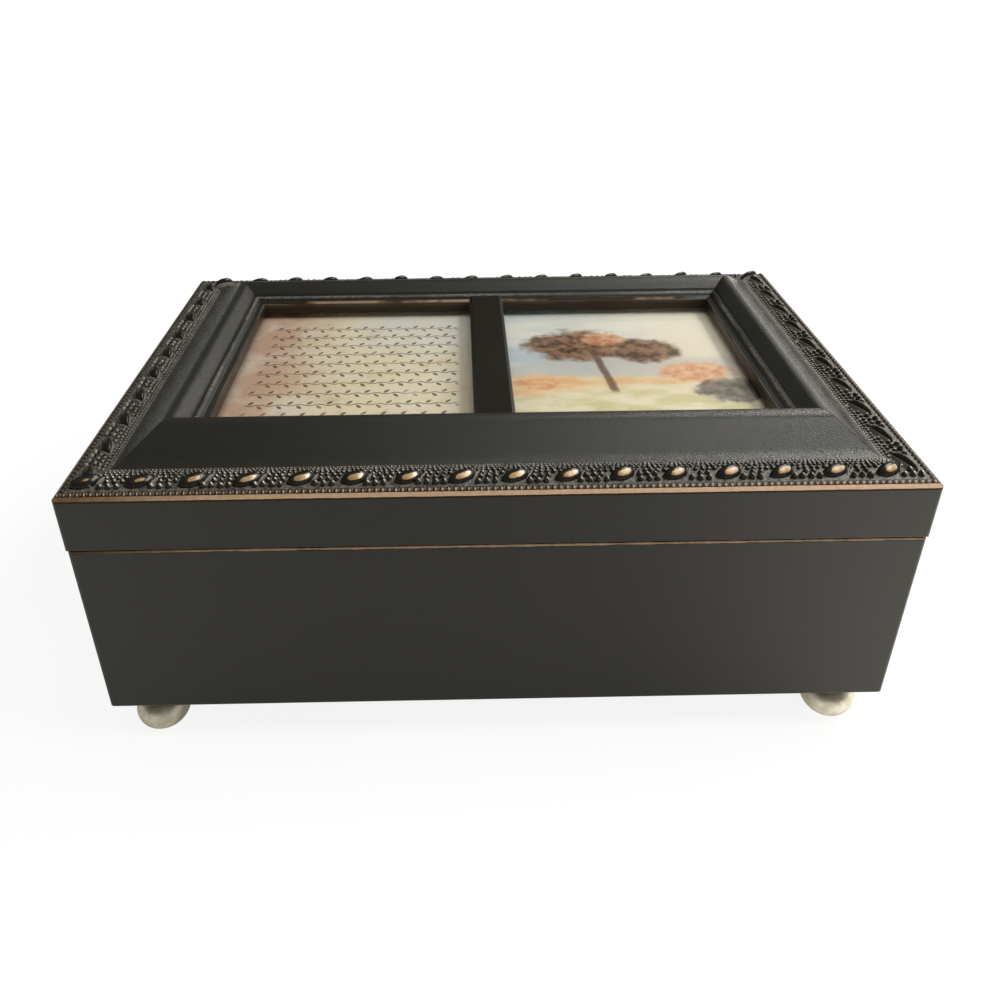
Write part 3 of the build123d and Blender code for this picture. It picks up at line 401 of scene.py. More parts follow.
# Frame moulding
# Four mitred lengths with a bevelled outer edge rubbed to bare copper, a ground for the trim, a
# cove, a long slope, a rounded crest, a fall, a bead and a lip. Beside the glass the bead is
# worn grey in places, and the back lip is worn to copper. The inner faces beside the glass are
# painted dark brown as shade, and the right half of the front has pale painted highlight glints
# on its cove and crest.
front_low, front_high = extents("frame_front_rail")
moulding_base = front_low.z
crest = front_high.z
bevel_low = moulding_base + 4.0 * mm
cove_inset = 10.4 * mm
bead_inset = 26.3 * mm
lip_inset = 28.0 * mm
sight = front_high.y - front_low.y


def moulding_wear(tree, place, x, y, z):
    """Copper on the bevel, the back lip and the mitres, and painted shade on the inner faces; paler
    wear on ground, bead and corners, and painted highlight glints on the front.
    """
    from_side, from_face = inset(tree, lid_half, x, y)
    inward = maths(tree, "MINIMUM", from_side, from_face)
    uneven = ragged(tree, place, 300, 0.22 * mm)
    front = front_share(tree, lid_half, x, y)
    on_front = ramp(tree, front, 0.0, 1.0, 0.50, 1.0)
    edge = ramp(tree, plus(tree, inward, uneven), 0.66 * mm, 1.05 * mm, 1.0, 0.0)
    above = ramp(tree, plus(tree, z, uneven), bevel_low - 0.12 * mm, bevel_low + 0.06 * mm)
    below_top = ramp(tree, z, bevel_low + 1.2 * mm, bevel_low + 1.6 * mm, 1.0, 0.0)
    bevel = times(tree, edge, above, below_top, on_front)
    stain = ramp(tree, plus(tree, z, uneven), bevel_low - 0.62 * mm, bevel_low - 0.42 * mm)
    stain = times(tree, stain, ramp(tree, inward, 1.15 * mm, 1.45 * mm, 0.44, 0.0))
    bevel = most(tree, bevel, times(tree, stain, on_front))
    patchy = ramp(tree, noise(tree, place, 38, 3), 0.36, 0.60)
    at_back = ramp(tree, minus(tree, from_side, from_face), 1 * mm, 14 * mm)
    at_back = times(tree, at_back, ramp(tree, y, 28 * mm, 34 * mm))
    from_lip = maths(tree, "ABSOLUTE", minus(tree, inward, lip_inset))
    lane = ramp(tree, plus(tree, from_lip, uneven), 0.60 * mm, 0.95 * mm, 1.0, 0.0)
    lane = times(tree, lane, at_back, ramp(tree, patchy, 0.0, 1.0, 0.42, 0.66))
    # Painted shade: the inner faces beside the glass are browned and dulled to stand for the shade in
    # the opening.
    inner_face = ramp(tree, inward, sight - 0.30 * mm, sight - 0.10 * mm, 0.0, 0.32)
    ground = ramp(tree, inward, 0.85 * mm, 1.0 * mm)
    ground = times(tree, ground, ramp(tree, inward, 9.9 * mm, 10.6 * mm, 1.0, 0.0))
    in_beads = times(tree, ground, ramp(tree, inward, 2.2 * mm, 2.7 * mm, 0.34, 0.0))
    fine = noise(tree, place, 1100, 3, 0.65)
    least = ramp(tree, x, 82 * mm, 92 * mm, 0.15, 0.40)
    ground = times(tree, ground, ramp(tree, fine, 0.32, 0.66, least, 0.90))
    ground = times(tree, ground, ramp(tree, inward, 2.0 * mm, 2.6 * mm, 0.2, 1.0))
    from_bead = maths(tree, "ABSOLUTE", minus(tree, inward, bead_inset))
    bead = ramp(tree, plus(tree, from_bead, uneven), 0.15 * mm, 0.55 * mm, 0.8, 0.0)
    bead = times(tree, bead, patchy, ramp(tree, fine, 0.38, 0.55, 0.2, 1.0))
    chipped = ragged(tree, place, 150, 0.6 * mm)
    corner = worn_line(tree, from_side, from_face, chipped, 0.10 * mm, 0.70 * mm)
    below_lip = minus(tree, moulding_base + 6.9 * mm, z)
    arris = worn_line(tree, minus(tree, sight, inward), below_lip, uneven, 0.25 * mm, 0.50 * mm)
    arris = times(tree, arris, patchy, 0.7)
    # Painted highlight: pale glints along the front's cove and crest, more towards the right.
    in_cove = ramp(tree, inward, cove_inset, cove_inset + 0.5 * mm)
    before_slope = ramp(tree, inward, cove_inset + 1.0 * mm, cove_inset + 2.4 * mm, 1.0, 0.0)
    on_crest = ramp(tree, z, crest - 0.8 * mm, crest - 0.15 * mm)
    glints = most(tree, times(tree, in_cove, before_slope), on_crest)
    glints = times(tree, glints, ramp(tree, noise(tree, place, 2600, 2, 0.6), 0.46, 0.66))
    glints = times(tree, glints, front, ramp(tree, x, -5 * mm, 90 * mm, 0.0, 0.75))
    from_mitre = maths(tree, "ABSOLUTE", minus(tree, from_side, from_face))
    mitre_brown = ramp(tree, x, -60 * mm, 60 * mm, 0.12, 0.42)
    mitre = ramp(tree, from_mitre, 0.12 * mm, 0.24 * mm, mitre_brown, 0.0)
    mitre = times(tree, mitre, ramp(tree, inward, cove_inset, cove_inset + 0.4 * mm))
    # This copper share also carries the painted shade of the inner faces.
    copper = most(tree, bevel, lane, times(tree, in_beads, on_front), inner_face, mitre)
    return copper, most(tree, bead, arris, corner, ground, glints)


moulding_paint = black_paint(
    "moulding_paint", moulding_wear, pale=(0.22, 0.21, 0.175, 1), peel=0.75, satin=0.20, shine=0.75
)
paint_nodes(
    moulding_paint, "frame_front_rail", "frame_back_rail", "frame_left_rail", "frame_right_rail"
)


# Centre bar
# A chamfered slip between the two windows, in the frame's paint but flatter. It is a little
# browned all over, and only its chamfers are worn, in a thin pale line.
def bar_wear(tree, place, x, y, z):
    """Faint brown, and a thin worn line along each chamfer's lower edge."""
    from_side = minus(tree, extents("centre_bar")[1].x, maths(tree, "ABSOLUTE", x))
    away = plus(tree, from_side, ragged(tree, place, 300, 0.25 * mm))
    return 0.14, ramp(tree, away, 0.02 * mm, 0.20 * mm, 0.5, 0.0)


bar_paint = black_paint("bar_paint", bar_wear, pale=(0.20, 0.19, 0.165, 1), satin=0.24, shine=0.55)
paint_nodes(bar_paint, "centre_bar")


# Bead row
# A row of tiny cast beads runs round the lid just inside the copper bevel. They stand in brown
# paint, and along the front their outer sides are rubbed to a dull gold.
def new_tree(name, sizes):
    """A geometry node group with named inputs, the inputs' identifiers and their sockets inside."""
    group = bpy.data.node_groups.new(name, "GeometryNodeTree")
    sockets = {}
    kinds = {float: "NodeSocketFloat", int: "NodeSocketInt"}
    group.interface.new_socket("Geometry", in_out="INPUT", socket_type="NodeSocketGeometry")
    for label, value in sizes.items():
        socket = group.interface.new_socket(label, in_out="INPUT", socket_type=kinds[type(value)])
        socket.default_value = value
        sockets[label] = socket.identifier
    material = group.interface.new_socket("Material", in_out="INPUT", socket_type="NodeSocketMaterial")
    sockets["Material"] = material.identifier
    group.interface.new_socket("Geometry", in_out="OUTPUT", socket_type="NodeSocketGeometry")
    return group, sockets, add_node(group, "NodeGroupInput").outputs


def join_meshes(name, meshes):
    """One object from several meshes, linked to the scene."""
    parts = []
    for mesh in meshes:
        part = bpy.data.objects.new(name, mesh)
        bpy.context.scene.collection.objects.link(part)
        parts.append(part)
    with bpy.context.temp_override(active_object=parts[0], selected_editable_objects=parts):
        bpy.ops.object.join()
    return parts[0]


def run_tree(name, group, inputs, values, source, matrices):
    """Applies a node group to a mesh once for each matrix, and joins what it makes."""
    made = []
    for matrix, changes in matrices:
        holder = bpy.data.objects.new(name + "_source", source)
        bpy.context.scene.collection.objects.link(holder)
        modifier = holder.modifiers.new("repeat", "NODES")
        modifier.node_group = group
        for label, value in {**values, **changes}.items():
            modifier[inputs[label]] = value
        evaluated = holder.evaluated_get(bpy.context.evaluated_depsgraph_get())
        mesh = bpy.data.meshes.new_from_object(evaluated)
        mesh.transform(matrix)
        made.append(mesh)
        bpy.data.objects.remove(holder)
    return join_meshes(name, made)


def set_copies(tree, points, piece, size, material, turn=(0.0, 0.0, 0.0)):
    """Sets a copy on each point, then realizes the copies, shades them smooth and paints them."""
    sockets = {"Points": points, "Instance": piece, "Rotation": turn, "Scale": size}
    copies = add_node(tree, "GeometryNodeInstanceOnPoints", sockets)
    real = add_node(tree, "GeometryNodeRealizeInstances", {0: copies.outputs[0]})
    smooth = add_node(tree, "GeometryNodeSetShadeSmooth", {"Geometry": real.outputs[0]})
    sockets = {"Geometry": smooth.outputs[0], "Material": material}
    painted = add_node(tree, "GeometryNodeSetMaterial", sockets)
    add_node(tree, "NodeGroupOutput", {0: painted.outputs[0]})


def rail_matrix(side):
    """From a rail's own axes (x along it from its middle, y inward, z up) to those of the lid."""
    turn = {"front": 0, "right": 90, "back": 180, "left": 270}[side]
    reach = lid_half[1] if side in ("front", "back") else lid_half[0]
    return Matrix.Rotation(math.radians(turn), 4, "Z") @ Matrix.Translation((0, -reach, 0))


def vector(tree, x=0.0, y=0.0, z=0.0):
    """A vector from three values."""
    return add_node(tree, "ShaderNodeCombineXYZ", {0: x, 1: y, 2: z}).outputs[0]


def row_points(tree, given):
    """Points in a row along a rail, as many as the pitch allows between its mitres."""
    half = minus(tree, times(tree, given["Length"], 0.5), given["Inset"])
    count = maths(tree, "ROUND", maths(tree, "DIVIDE", times(tree, half, 2.0), given["Pitch"]))
    low_end = vector(tree, times(tree, half, -1.0), given["Inset"])
    high_end = vector(tree, half, given["Inset"])
    sockets = {"Count": count, "Start Location": low_end, "Offset": high_end}
    return add_node(tree, "GeometryNodeMeshLine", sockets, mode="END_POINTS").outputs[0]


def random_vector(tree, low, high, seed):
    """A random vector for each copy, between two others."""
    sockets = {0: low, 1: high, "Seed": seed}
    return add_node(tree, "FunctionNodeRandomValue", sockets, data_type="FLOAT_VECTOR").outputs[0]


def varied(tree, size, low, high, seed):
    """A size that differs a little from copy to copy."""
    vary = random_vector(tree, low, high, seed)
    return add_node(tree, "ShaderNodeVectorMath", {0: size, 1: vary}, operation="MULTIPLY").outputs[0]


def small_dome(tree, rubbed_and_lit_side):
    """A faceted ball of radius 1 without its bottom; it stores how far each point faces a given side,
    which is rubbed on the beads and painted as highlight on the pebbles.
    """
    ball = add_node(tree, "GeometryNodeMeshIcoSphere", {"Radius": 1.0, "Subdivisions": 2})
    where = add_node(tree, "GeometryNodeInputPosition").outputs[0]
    facing = add_node(tree, "ShaderNodeVectorMath", {0: where, 1: rubbed_and_lit_side}, operation="DOT_PRODUCT")
    sockets = {"Geometry": ball.outputs[0], "Name": "rub", "Value": facing.outputs["Value"]}
    marked = add_node(tree, "GeometryNodeStoreNamedAttribute", sockets).outputs[0]
    height = add_node(tree, "ShaderNodeSeparateXYZ", {0: where}).outputs[2]
    sockets = {"Geometry": marked, "Selection": maths(tree, "LESS_THAN", height, -0.45)}
    return add_node(tree, "GeometryNodeDeleteGeometry", sockets, domain="POINT").outputs[0]


long, short = 2 * lid_half[0], 2 * lid_half[1]
rail_lengths = {"front": long, "back": long, "left": short, "right": short}
band_low = moulding_base + 4.7 * mm
band_inset = 0.8 * mm
band_slope = 0.5 / 8.6


def cast_paint(name, ground, rub_and_highlight_from, rub_and_highlight_to, gold, elsewhere, on_right=0.0):
    """Glossy paint on cast trim, paler where the stored value is high, and less off the front: rubbed
    to gold on the beads, painted highlight crescents on the pebbles.

    On the right rail the painted highlight can be raised, most of all in the last row before the cove.
    """
    material, tree = new_material(name)
    place, x, y, _ = places(tree)
    patch = noise(tree, place, 900, 3, 0.6)
    rub = add_node(tree, "ShaderNodeAttribute", attribute_name="rub").outputs["Fac"]
    uneven = ragged(tree, place, 330, 0.4)
    # More painted highlight on the right rail's pebbles, most in the last row before the cove.
    uneven = plus(tree, uneven, ramp(tree, x, 86 * mm, 93 * mm, 0.0, on_right))
    last_row = lid_half[0] - 10.0 * mm
    from_row = maths(tree, "ABSOLUTE", minus(tree, x, last_row))
    uneven = plus(tree, uneven, ramp(tree, from_row, 0.45 * mm, 0.90 * mm, on_right * 1.8, 0.0))
    share = ramp(tree, plus(tree, rub, uneven), rub_and_highlight_from, rub_and_highlight_to)
    at_front = front_share(tree, lid_half, x, y)
    share = times(tree, share, ramp(tree, at_front, 0.0, 1.0, elsewhere, 1.0))
    dark = blend(tree, patch, (0.012, 0.0105, 0.008, 1), ground)
    colour = blend(tree, share, dark, gold)
    gloss = plus(tree, 0.20, times(tree, patch, 0.14))
    principled(tree, {"Base Color": colour, "Roughness": gloss, "Metallic": times(tree, share, 0.3)})
    return material


bead_paint = cast_paint("bead_paint", (0.075, 0.050, 0.028, 1), 0.58, 0.84, (0.86, 0.66, 0.50, 1), 0.14)
bead_sizes = {
    "Length": 0.2,
    "Inset": 1.62 * mm,
    "Pitch": 1.49 * mm,
    "Radius": 0.66 * mm,
    "Height": 0.55 * mm,
}
bead_heights = {"front": 0.55 * mm, "back": 0.30 * mm, "left": 0.45 * mm, "right": 0.45 * mm}
tree, inputs, given = new_tree("bead_row", bead_sizes)
dome = small_dome(tree, (-0.76, -0.48, 0.44))
size = vector(tree, given["Radius"], given["Radius"], given["Height"])
size = varied(tree, size, (0.90, 0.92, 0.9), (1.06, 1.08, 1.06), 4)
set_copies(tree, row_points(tree, given), dome, size, given["Material"])

bead_lift = Matrix.Translation((0, 0, band_low + 0.05 * mm))
bead_row = run_tree(
    "bead_row",
    tree,
    inputs,
    {**bead_sizes, "Material": bead_paint},
    bpy.data.meshes.new("bead_seed"),
    [
        (bead_lift @ rail_matrix(side), {"Length": length, "Height": bead_heights[side]})
        for side, length in rail_lengths.items()
    ],
)
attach(bead_row, "lid")


# Nuggets
# Long separate bosses stand slantwise along the band, like the turns of a ribbon, sixteen on the
# front and back and ten on each side, each with a fine stroke beside it. They are glossy, and
# along the front the high side of each is rubbed to gold, with a paler painted highlight at the
# right end of each gold patch.
nugget_pitch = 12.40 * mm
nugget_inset = 5.45 * mm
nugget_length = 7.2 * mm
nugget_width = 3.5 * mm
nugget_height = 2.35 * mm
nugget_slant = math.radians(25)
nugget_starts = {"front": -95.40 * mm, "back": -94.3 * mm, "left": -55.8 * mm, "right": -55.8 * mm}
nugget_counts = {"front": 16, "back": 16, "left": 10, "right": 10}


def nugget_mesh():
    """One boss: a pointed hull that leans forward, and the fine raised stroke at its right."""
    sink = 0.25 * mm
    verts, rub, lengthwise, faces = [], [], [], []
    rows, columns = 23, 17
    for i in range(rows):
        u = -1 + 2 * i / (rows - 1)
        width = nugget_width / 2 * max(1 - abs(u) ** 2.1, 0.0) ** 0.70
        for j in range(columns):
            v = -math.cos(math.pi * j / (columns - 1))
            ridge = 0.28 + 0.08 * u
            if v > ridge:
                rise = max(1 - ((v - ridge) / (1 - ridge)) ** 2, 0.0) ** 0.6
            else:
                rise = max(1 - ((ridge - v) / (1 + ridge)) ** 1.2, 0.0) ** 0.40
            rise *= max(1 - abs(u) ** 2.6, 0.0) ** 0.55
            bend = 0.25 * mm * u * u
            verts.append((u * nugget_length / 2, v * width + bend, rise * nugget_height - sink))
            along, across = (u - 0.05 - 0.26 * (v + 0.42)) / 0.54, (v + 0.42) / 0.34
            above_patch = max(v + 0.06, 0.0) * 6.0
            rub.append(1.0 - (abs(along) ** 3 + abs(across) ** 3) ** (1 / 3) - above_patch)
            lengthwise.append(u)
    for i in range(rows - 1):
        for j in range(columns - 1):
            a = i * columns + j
            faces.append((a, a + columns, a + columns + 1, a + 1))
    start = Vector((1.70, -1.95)) * mm
    arm = Vector((3.60, 2.70)) * mm
    across = Vector((-arm.y, arm.x)).normalized()
    base = len(verts)
    for i in range(7):
        share = i / 6
        swell = max(math.sin(math.pi * share), 0.0) ** 0.5
        for reach, lift in ((-1.0, -0.6), (-0.6, 0.7), (0.0, 1.0), (0.6, 0.7), (1.0, -0.6)):
            spot = start + arm * share + across * reach * 0.24 * mm * swell
            verts.append((spot.x, spot.y, lift * 0.90 * mm * swell))
            rub.append(-9.0)
            lengthwise.append(0.0)
    for i in range(6):
        for j in range(4):
            a = base + i * 5 + j
            faces.append((a, a + 5, a + 6, a + 1))
    mesh = bpy.data.meshes.new("nugget")
    mesh.from_pydata(verts, [], faces)
    for label, values in (("rub", rub), ("lengthwise", lengthwise)):
        mesh.attributes.new(label, "FLOAT", "POINT").data.foreach_set("value", values)
    return mesh


nugget_paint, tree = new_material("nugget_paint")
place, x, y, _ = places(tree)
rub = add_node(tree, "ShaderNodeAttribute", attribute_name="rub").outputs["Fac"]
patch = noise(tree, place, 900, 3)
along = ramp(tree, x, -103 * mm, -45 * mm)
at_front = front_share(tree, lid_half, x, y)
edge = plus(tree, rub, times(tree, minus(tree, patch, 0.5), 0.35))
edge = plus(tree, edge, times(tree, minus(tree, along, 1.0), 0.66))
share = times(tree, ramp(tree, edge, -0.30, 0.25), most(tree, at_front, 0.08))
dark = blend(tree, patch, (0.008, 0.0075, 0.006, 1), (0.018, 0.016, 0.013, 1))
colour = blend(tree, ramp(tree, share, 0.02, 0.50), dark, (0.075, 0.036, 0.012, 1))
gold = blend(tree, along, (0.36, 0.19, 0.095, 1), (0.36, 0.235, 0.105, 1))
gold = blend(tree, ramp(tree, patch, 0.42, 0.66, 0.0, 0.7), gold, (0.47, 0.34, 0.22, 1))
lengthwise = add_node(tree, "ShaderNodeAttribute", attribute_name="lengthwise").outputs["Fac"]
# Painted highlight: the right end of each gold patch is paler, standing for a reflection of the window.
painted_highlight_end = times(tree, ramp(tree, lengthwise, 0.05, 0.50), along, 0.8)
gold = blend(tree, painted_highlight_end, gold, (0.64, 0.55, 0.46, 1))
colour = blend(tree, ramp(tree, share, 0.50, 0.75), colour, gold)
stroke = maths(tree, "LESS_THAN", rub, -8.0)
colour = blend(tree, times(tree, stroke, 0.8), colour, (0.27, 0.26, 0.23, 1))
gloss = plus(tree, 0.18, times(tree, share, 0.20))
shine = most(tree, ramp(tree, rub, -2.2, -0.9, 0.04, 0.45), minus(tree, 0.45, at_front))
sockets = {"Base Color": colour, "Roughness": gloss, "Metallic": times(tree, share, 0.3)}
principled(tree, {**sockets, "Specular IOR Level": shine})

nugget_shape = bpy.data.objects.new("nugget_shape", nugget_mesh())
bpy.context.scene.collection.objects.link(nugget_shape)
nugget_sizes = {
    "Start": -0.09,
    "Pitch": nugget_pitch,
    "Count": 16,
    "Inset": nugget_inset,
    "Slant": nugget_slant,
}
tree, inputs, given = new_tree("nugget_line", nugget_sizes)
first = vector(tree, given["Start"], given["Inset"])
step = vector(tree, given["Pitch"])
sockets = {"Count": given["Count"], "Start Location": first, "Offset": step}
line = add_node(tree, "GeometryNodeMeshLine", sockets)
sockets = {2: -0.05, 3: 0.05, "Seed": 9}
sway = add_node(tree, "FunctionNodeRandomValue", sockets, data_type="FLOAT")
turn = vector(tree, z=plus(tree, given["Slant"], sway.outputs[1]))
vary = random_vector(tree, (0.95, 0.92, 0.92), (1.05, 1.06, 1.06), 12)
shape = add_node(tree, "GeometryNodeObjectInfo", {"Object": nugget_shape}).outputs["Geometry"]
set_copies(tree, line.outputs[0], shape, vary, given["Material"], turn)

nugget_lift = Matrix.Translation((0, 0, band_low + 0.22 * mm))
nugget_rise = {"front": 1.0, "back": 1.35, "left": 1.0, "right": 1.0}
nuggets = run_tree(
    "nuggets",
    tree,
    inputs,
    {**nugget_sizes, "Material": nugget_paint},
    bpy.data.meshes.new("nugget_seed"),
    [
        (
            nugget_lift @ rail_matrix(side) @ Matrix.Scale(nugget_rise[side], 4, (0, 0, 1)),
            {"Start": nugget_starts[side], "Count": nugget_counts[side]},
        )
        for side in rail_lengths
    ],
)
bpy.data.objects.remove(nugget_shape)
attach(nuggets, "lid")


# Pebbled ground
# Between and around the nuggets the band is cast in rows of small round pebbles, the largest near
# the beads and the smallest along the foot of the cove. Each rail's pebbles are one piece.
# Pale crescents painted on one upper side of each pebble stand for highlights, more of them on
# the right rail.
pebble_paint = cast_paint(
    "pebble_paint", (0.024, 0.021, 0.016, 1), 0.72, 0.92, (0.40, 0.385, 0.335, 1), 0.8, on_right=0.30
)
pebble_sizes = {
    "Length": 0.2,
    "Inset": 4.0 * mm,
    "Pitch": 1.85 * mm,
    "Width": 1.65 * mm,
    "Height": 1.0 * mm,
    "Clear": 2.3 * mm,
    "Jitter": 0.10,
    "Seed": 1,
}
tree, inputs, given = new_tree("pebble_row", pebble_sizes)
jitter = random_vector(tree, (-1.0, -1.0, -0.2), (1.0, 1.0, 0.2), given["Seed"])
reach = times(tree, given["Jitter"], given["Pitch"])
wander = add_node(tree, "ShaderNodeVectorMath", {0: jitter, "Scale": reach}, operation="SCALE")
sockets = {"Geometry": row_points(tree, given), "Offset": wander.outputs[0]}
spots = add_node(tree, "GeometryNodeSetPosition", sockets)
near = add_node(tree, "GeometryNodeProximity", {0: given["Geometry"]}, target_element="EDGES")
close = maths(tree, "LESS_THAN", near.outputs["Distance"], given["Clear"])
sockets = {"Geometry": spots.outputs[0], "Selection": close}
kept = add_node(tree, "GeometryNodeDeleteGeometry", sockets, domain="POINT")
# Painted highlight: the pale crescents sit on this upper side of each pebble.
dome = small_dome(tree, (0.66, 0.05, 0.75))
size = vector(tree, given["Width"], given["Width"], given["Height"])
size = varied(tree, size, (0.42, 0.42, 0.85), (0.54, 0.54, 1.10), 21)
set_copies(tree, kept.outputs[0], dome, size, given["Material"])

corner_gaps = {"front": 0.0, "back": 0.0, "left": 5.0 * mm, "right": 5.0 * mm}
half_spine = Vector((math.cos(nugget_slant), math.sin(nugget_slant), 0)) * nugget_length * 0.26
for number, (side, length) in enumerate(rail_lengths.items()):
    spines = []
    for number_along in range(nugget_counts[side]):
        middle = Vector((nugget_starts[side] + number_along * nugget_pitch, nugget_inset, 0))
        spines += [middle - half_spine, middle + half_spine]
    spine_mesh = bpy.data.meshes.new("nugget_spines")
    spine_mesh.from_pydata(spines, [(i, i + 1) for i in range(0, len(spines), 2)], [])
    runs = []
    for inset_mm, size_mm, pitch_mm, height_mm, clear_mm, loose in (
        (3.90, 1.65, 1.95, 1.30, 2.3, 0.05),
        (5.70, 1.40, 1.75, 1.05, 2.3, 0.08),
        (7.20, 1.20, 1.50, 0.75, 2.2, 0.10),
        (8.40, 1.00, 1.25, 0.55, 2.1, 0.10),
        (9.30, 0.80, 1.05, 0.40, 2.0, 0.03),
        (10.05, 0.65, 0.90, 0.30, 2.0, 0.08),
    ):
        lift = band_low + (inset_mm * mm - band_inset) * band_slope
        changes = {
            "Inset": inset_mm * mm,
            "Pitch": pitch_mm * mm,
            "Width": size_mm * mm,
            "Height": height_mm * mm,
            "Clear": clear_mm * mm,
            "Jitter": loose,
            "Seed": number * 10 + len(runs),
        }
        runs.append((Matrix.Translation((0, 0, lift)) @ rail_matrix(side), changes))
    pebbles = run_tree(
        f"pebbles_{side}",
        tree,
        inputs,
        {**pebble_sizes, "Length": length - corner_gaps[side], "Material": pebble_paint},
        spine_mesh,
        runs,
    )
    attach(pebbles, "lid")


# Ball feet
# Turned or cast metal balls with a short neck, plated a pale champagne and a little mottled.
# A steel stud screws each one into a corner of the case.
foot_metal, tree = new_material("foot_metal")
place = places(tree)[0]
mottle = noise(tree, place, 420, 4, 0.65)
scuffs = noise(tree, place, 1500, 2)
mottled = ramp(tree, mottle, 0.35, 0.65)
colour = blend(tree, mottled, (0.62, 0.57, 0.45, 1), (0.80, 0.77, 0.67, 1))
gloss = plus(tree, 0.30, times(tree, scuffs, 0.2))
bumped = bump(tree, 0.25, 0.0002, mottle)
principled(tree, {"Base Color": colour, "Roughness": gloss, "Metallic": 1.0, "Normal": bumped})
paint_nodes(foot_metal, "ball_feet")


# Window glass
# Two panes of picture glass lie on the cards, under the lips of the frame.
def clear_sheet(name, tint, ior, mirror, smear_scale, smear_detail, haze):
    """A thin clear sheet that mirrors more at a slant, with a few smears."""
    material, tree = new_material(name)
    smears = noise(tree, places(tree)[0], smear_scale, smear_detail)
    clear = add_node(tree, "ShaderNodeBsdfTransparent", {"Color": tint}).outputs[0]
    sockets = {"Color": (mirror, mirror, mirror, 1), "Roughness": times(tree, smears, haze)}
    glossy = add_node(tree, "ShaderNodeBsdfGlossy", sockets).outputs[0]
    facing = add_node(tree, "ShaderNodeFresnel", {"IOR": ior}).outputs[0]
    mixed = add_node(tree, "ShaderNodeMixShader", {0: facing, 1: clear, 2: glossy})
    add_node(tree, "ShaderNodeOutputMaterial", {"Surface": mixed.outputs[0]})
    return material


pane_glass = clear_sheet("pane_glass", (1.0, 1.0, 0.995, 1), 1.45, 1.0, 60, 3, 0.08)
paint_nodes(pane_glass, "left_pane", "right_pane")


# Picture cards
# Two printed cards behind the glass. The left one is mottled parchment with rows of a winding
# leafy stem; the right one is a loose painted landscape with a russet tree. Both are generic.
# On the left card a painted shadow of the centre bar lies beside it, and a painted cool
# reflection of the glass lies towards its top right.
def card_shader(tree, place, colour):
    """Matt printed card with a faint tooth."""
    tooth = bump(tree, 0.08, 0.0001, noise(tree, place, 1500, 3))
    principled(tree, {"Base Color": colour, "Roughness": 0.55, "Normal": tooth})


left_print, tree = new_material("left_print")
place, x, y, _ = places(tree)
soft = noise(tree, place, 55, 4)
drift = plus(tree, x, times(tree, minus(tree, soft, 0.5), 36 * mm))
across = ramp(tree, drift, -70 * mm, -42 * mm)
ground = blend(tree, across, (0.76, 0.54, 0.41, 1), (0.965, 0.895, 0.69, 1))
cloudy = ramp(tree, noise(tree, place, 75, 5), 0.42, 0.64, 0.0, 0.75)
ground = blend(tree, cloudy, ground, (0.97, 0.92, 0.79, 1))
stains = ramp(tree, noise(tree, place, 130, 4, 0.65), 0.52, 0.70, 0.0, 0.35)
ground = blend(tree, stains, ground, (0.66, 0.45, 0.31, 1))
# Painted shadow: a soft grey-brown band beside the centre bar, where its shadow falls on the card.
shade = ramp(tree, plus(tree, x, ragged(tree, place, 60, 6 * mm)), -17 * mm, -8 * mm, 0.0, 0.40)
ground = blend(tree, shade, ground, (0.60, 0.56, 0.46, 1))
# Painted reflection: a pale cool haze towards the top right stands for the glass's reflection.
painted_glass_reflection = times(tree, ramp(tree, drift, -45 * mm, -25 * mm), ramp(tree, y, 0.0, 24 * mm, 0.0, 0.55))
ground = blend(tree, painted_glass_reflection, ground, (0.84, 0.87, 0.86, 1))
line_gap = 5.9 * mm
leaf_gap = 2.7 * mm
line = maths(tree, "DIVIDE", y, line_gap)
odd = maths(tree, "PINGPONG", maths(tree, "FLOOR", line), 1.0)
step = plus(tree, maths(tree, "DIVIDE", x, leaf_gap), times(tree, odd, 0.4))
u = times(tree, minus(tree, maths(tree, "FRACT", step), 0.5), leaf_gap)
v = times(tree, minus(tree, maths(tree, "FRACT", line), 0.5), line_gap)
wave = times(tree, maths(tree, "SINE", times(tree, step, math.pi)), 0.34 * mm)
stem = ramp(tree, maths(tree, "ABSOLUTE", minus(tree, v, wave)), 0.14 * mm, 0.28 * mm, 1.0, 0.0)
side = minus(tree, times(tree, maths(tree, "PINGPONG", maths(tree, "FLOOR", step), 1.0), 2.0), 1.0)
rise = minus(tree, times(tree, v, side), 1.12 * mm)
long_way = plus(tree, times(tree, u, 0.62), times(tree, rise, 0.78))
cross_way = minus(tree, times(tree, u, 0.78), times(tree, rise, 0.62))
far = maths(tree, "DIVIDE", long_way, 1.25 * mm)
belly = times(tree, minus(tree, 1.0, times(tree, far, far)), 0.58 * mm)
leaf = ramp(tree, minus(tree, belly, maths(tree, "ABSOLUTE", cross_way)), 0.0, 0.12 * mm)
faded = ramp(tree, noise(tree, place, 420, 3), 0.30, 0.52, 0.45, 0.86)
margin = times(
    tree,
    ramp(tree, x, -69 * mm, -66.5 * mm),
    ramp(tree, x, -10.5 * mm, -8.5 * mm, 1.0, 0.0),
    ramp(tree, y, 29.0 * mm, 30.0 * mm, 1.0, 0.0),
)
ink = times(tree, most(tree, stem, leaf), faded, margin)
card_shader(tree, place, blend(tree, ink, ground, (0.10, 0.068, 0.050, 1)))
paint_nodes(left_print, "left_picture_card")

right_print, tree = new_material("right_print")
place, x, y, _ = places(tree)


def daub(picture, share, colour):
    """Lays one colour of paint over the right picture."""
    return blend(tree, share, picture, colour)


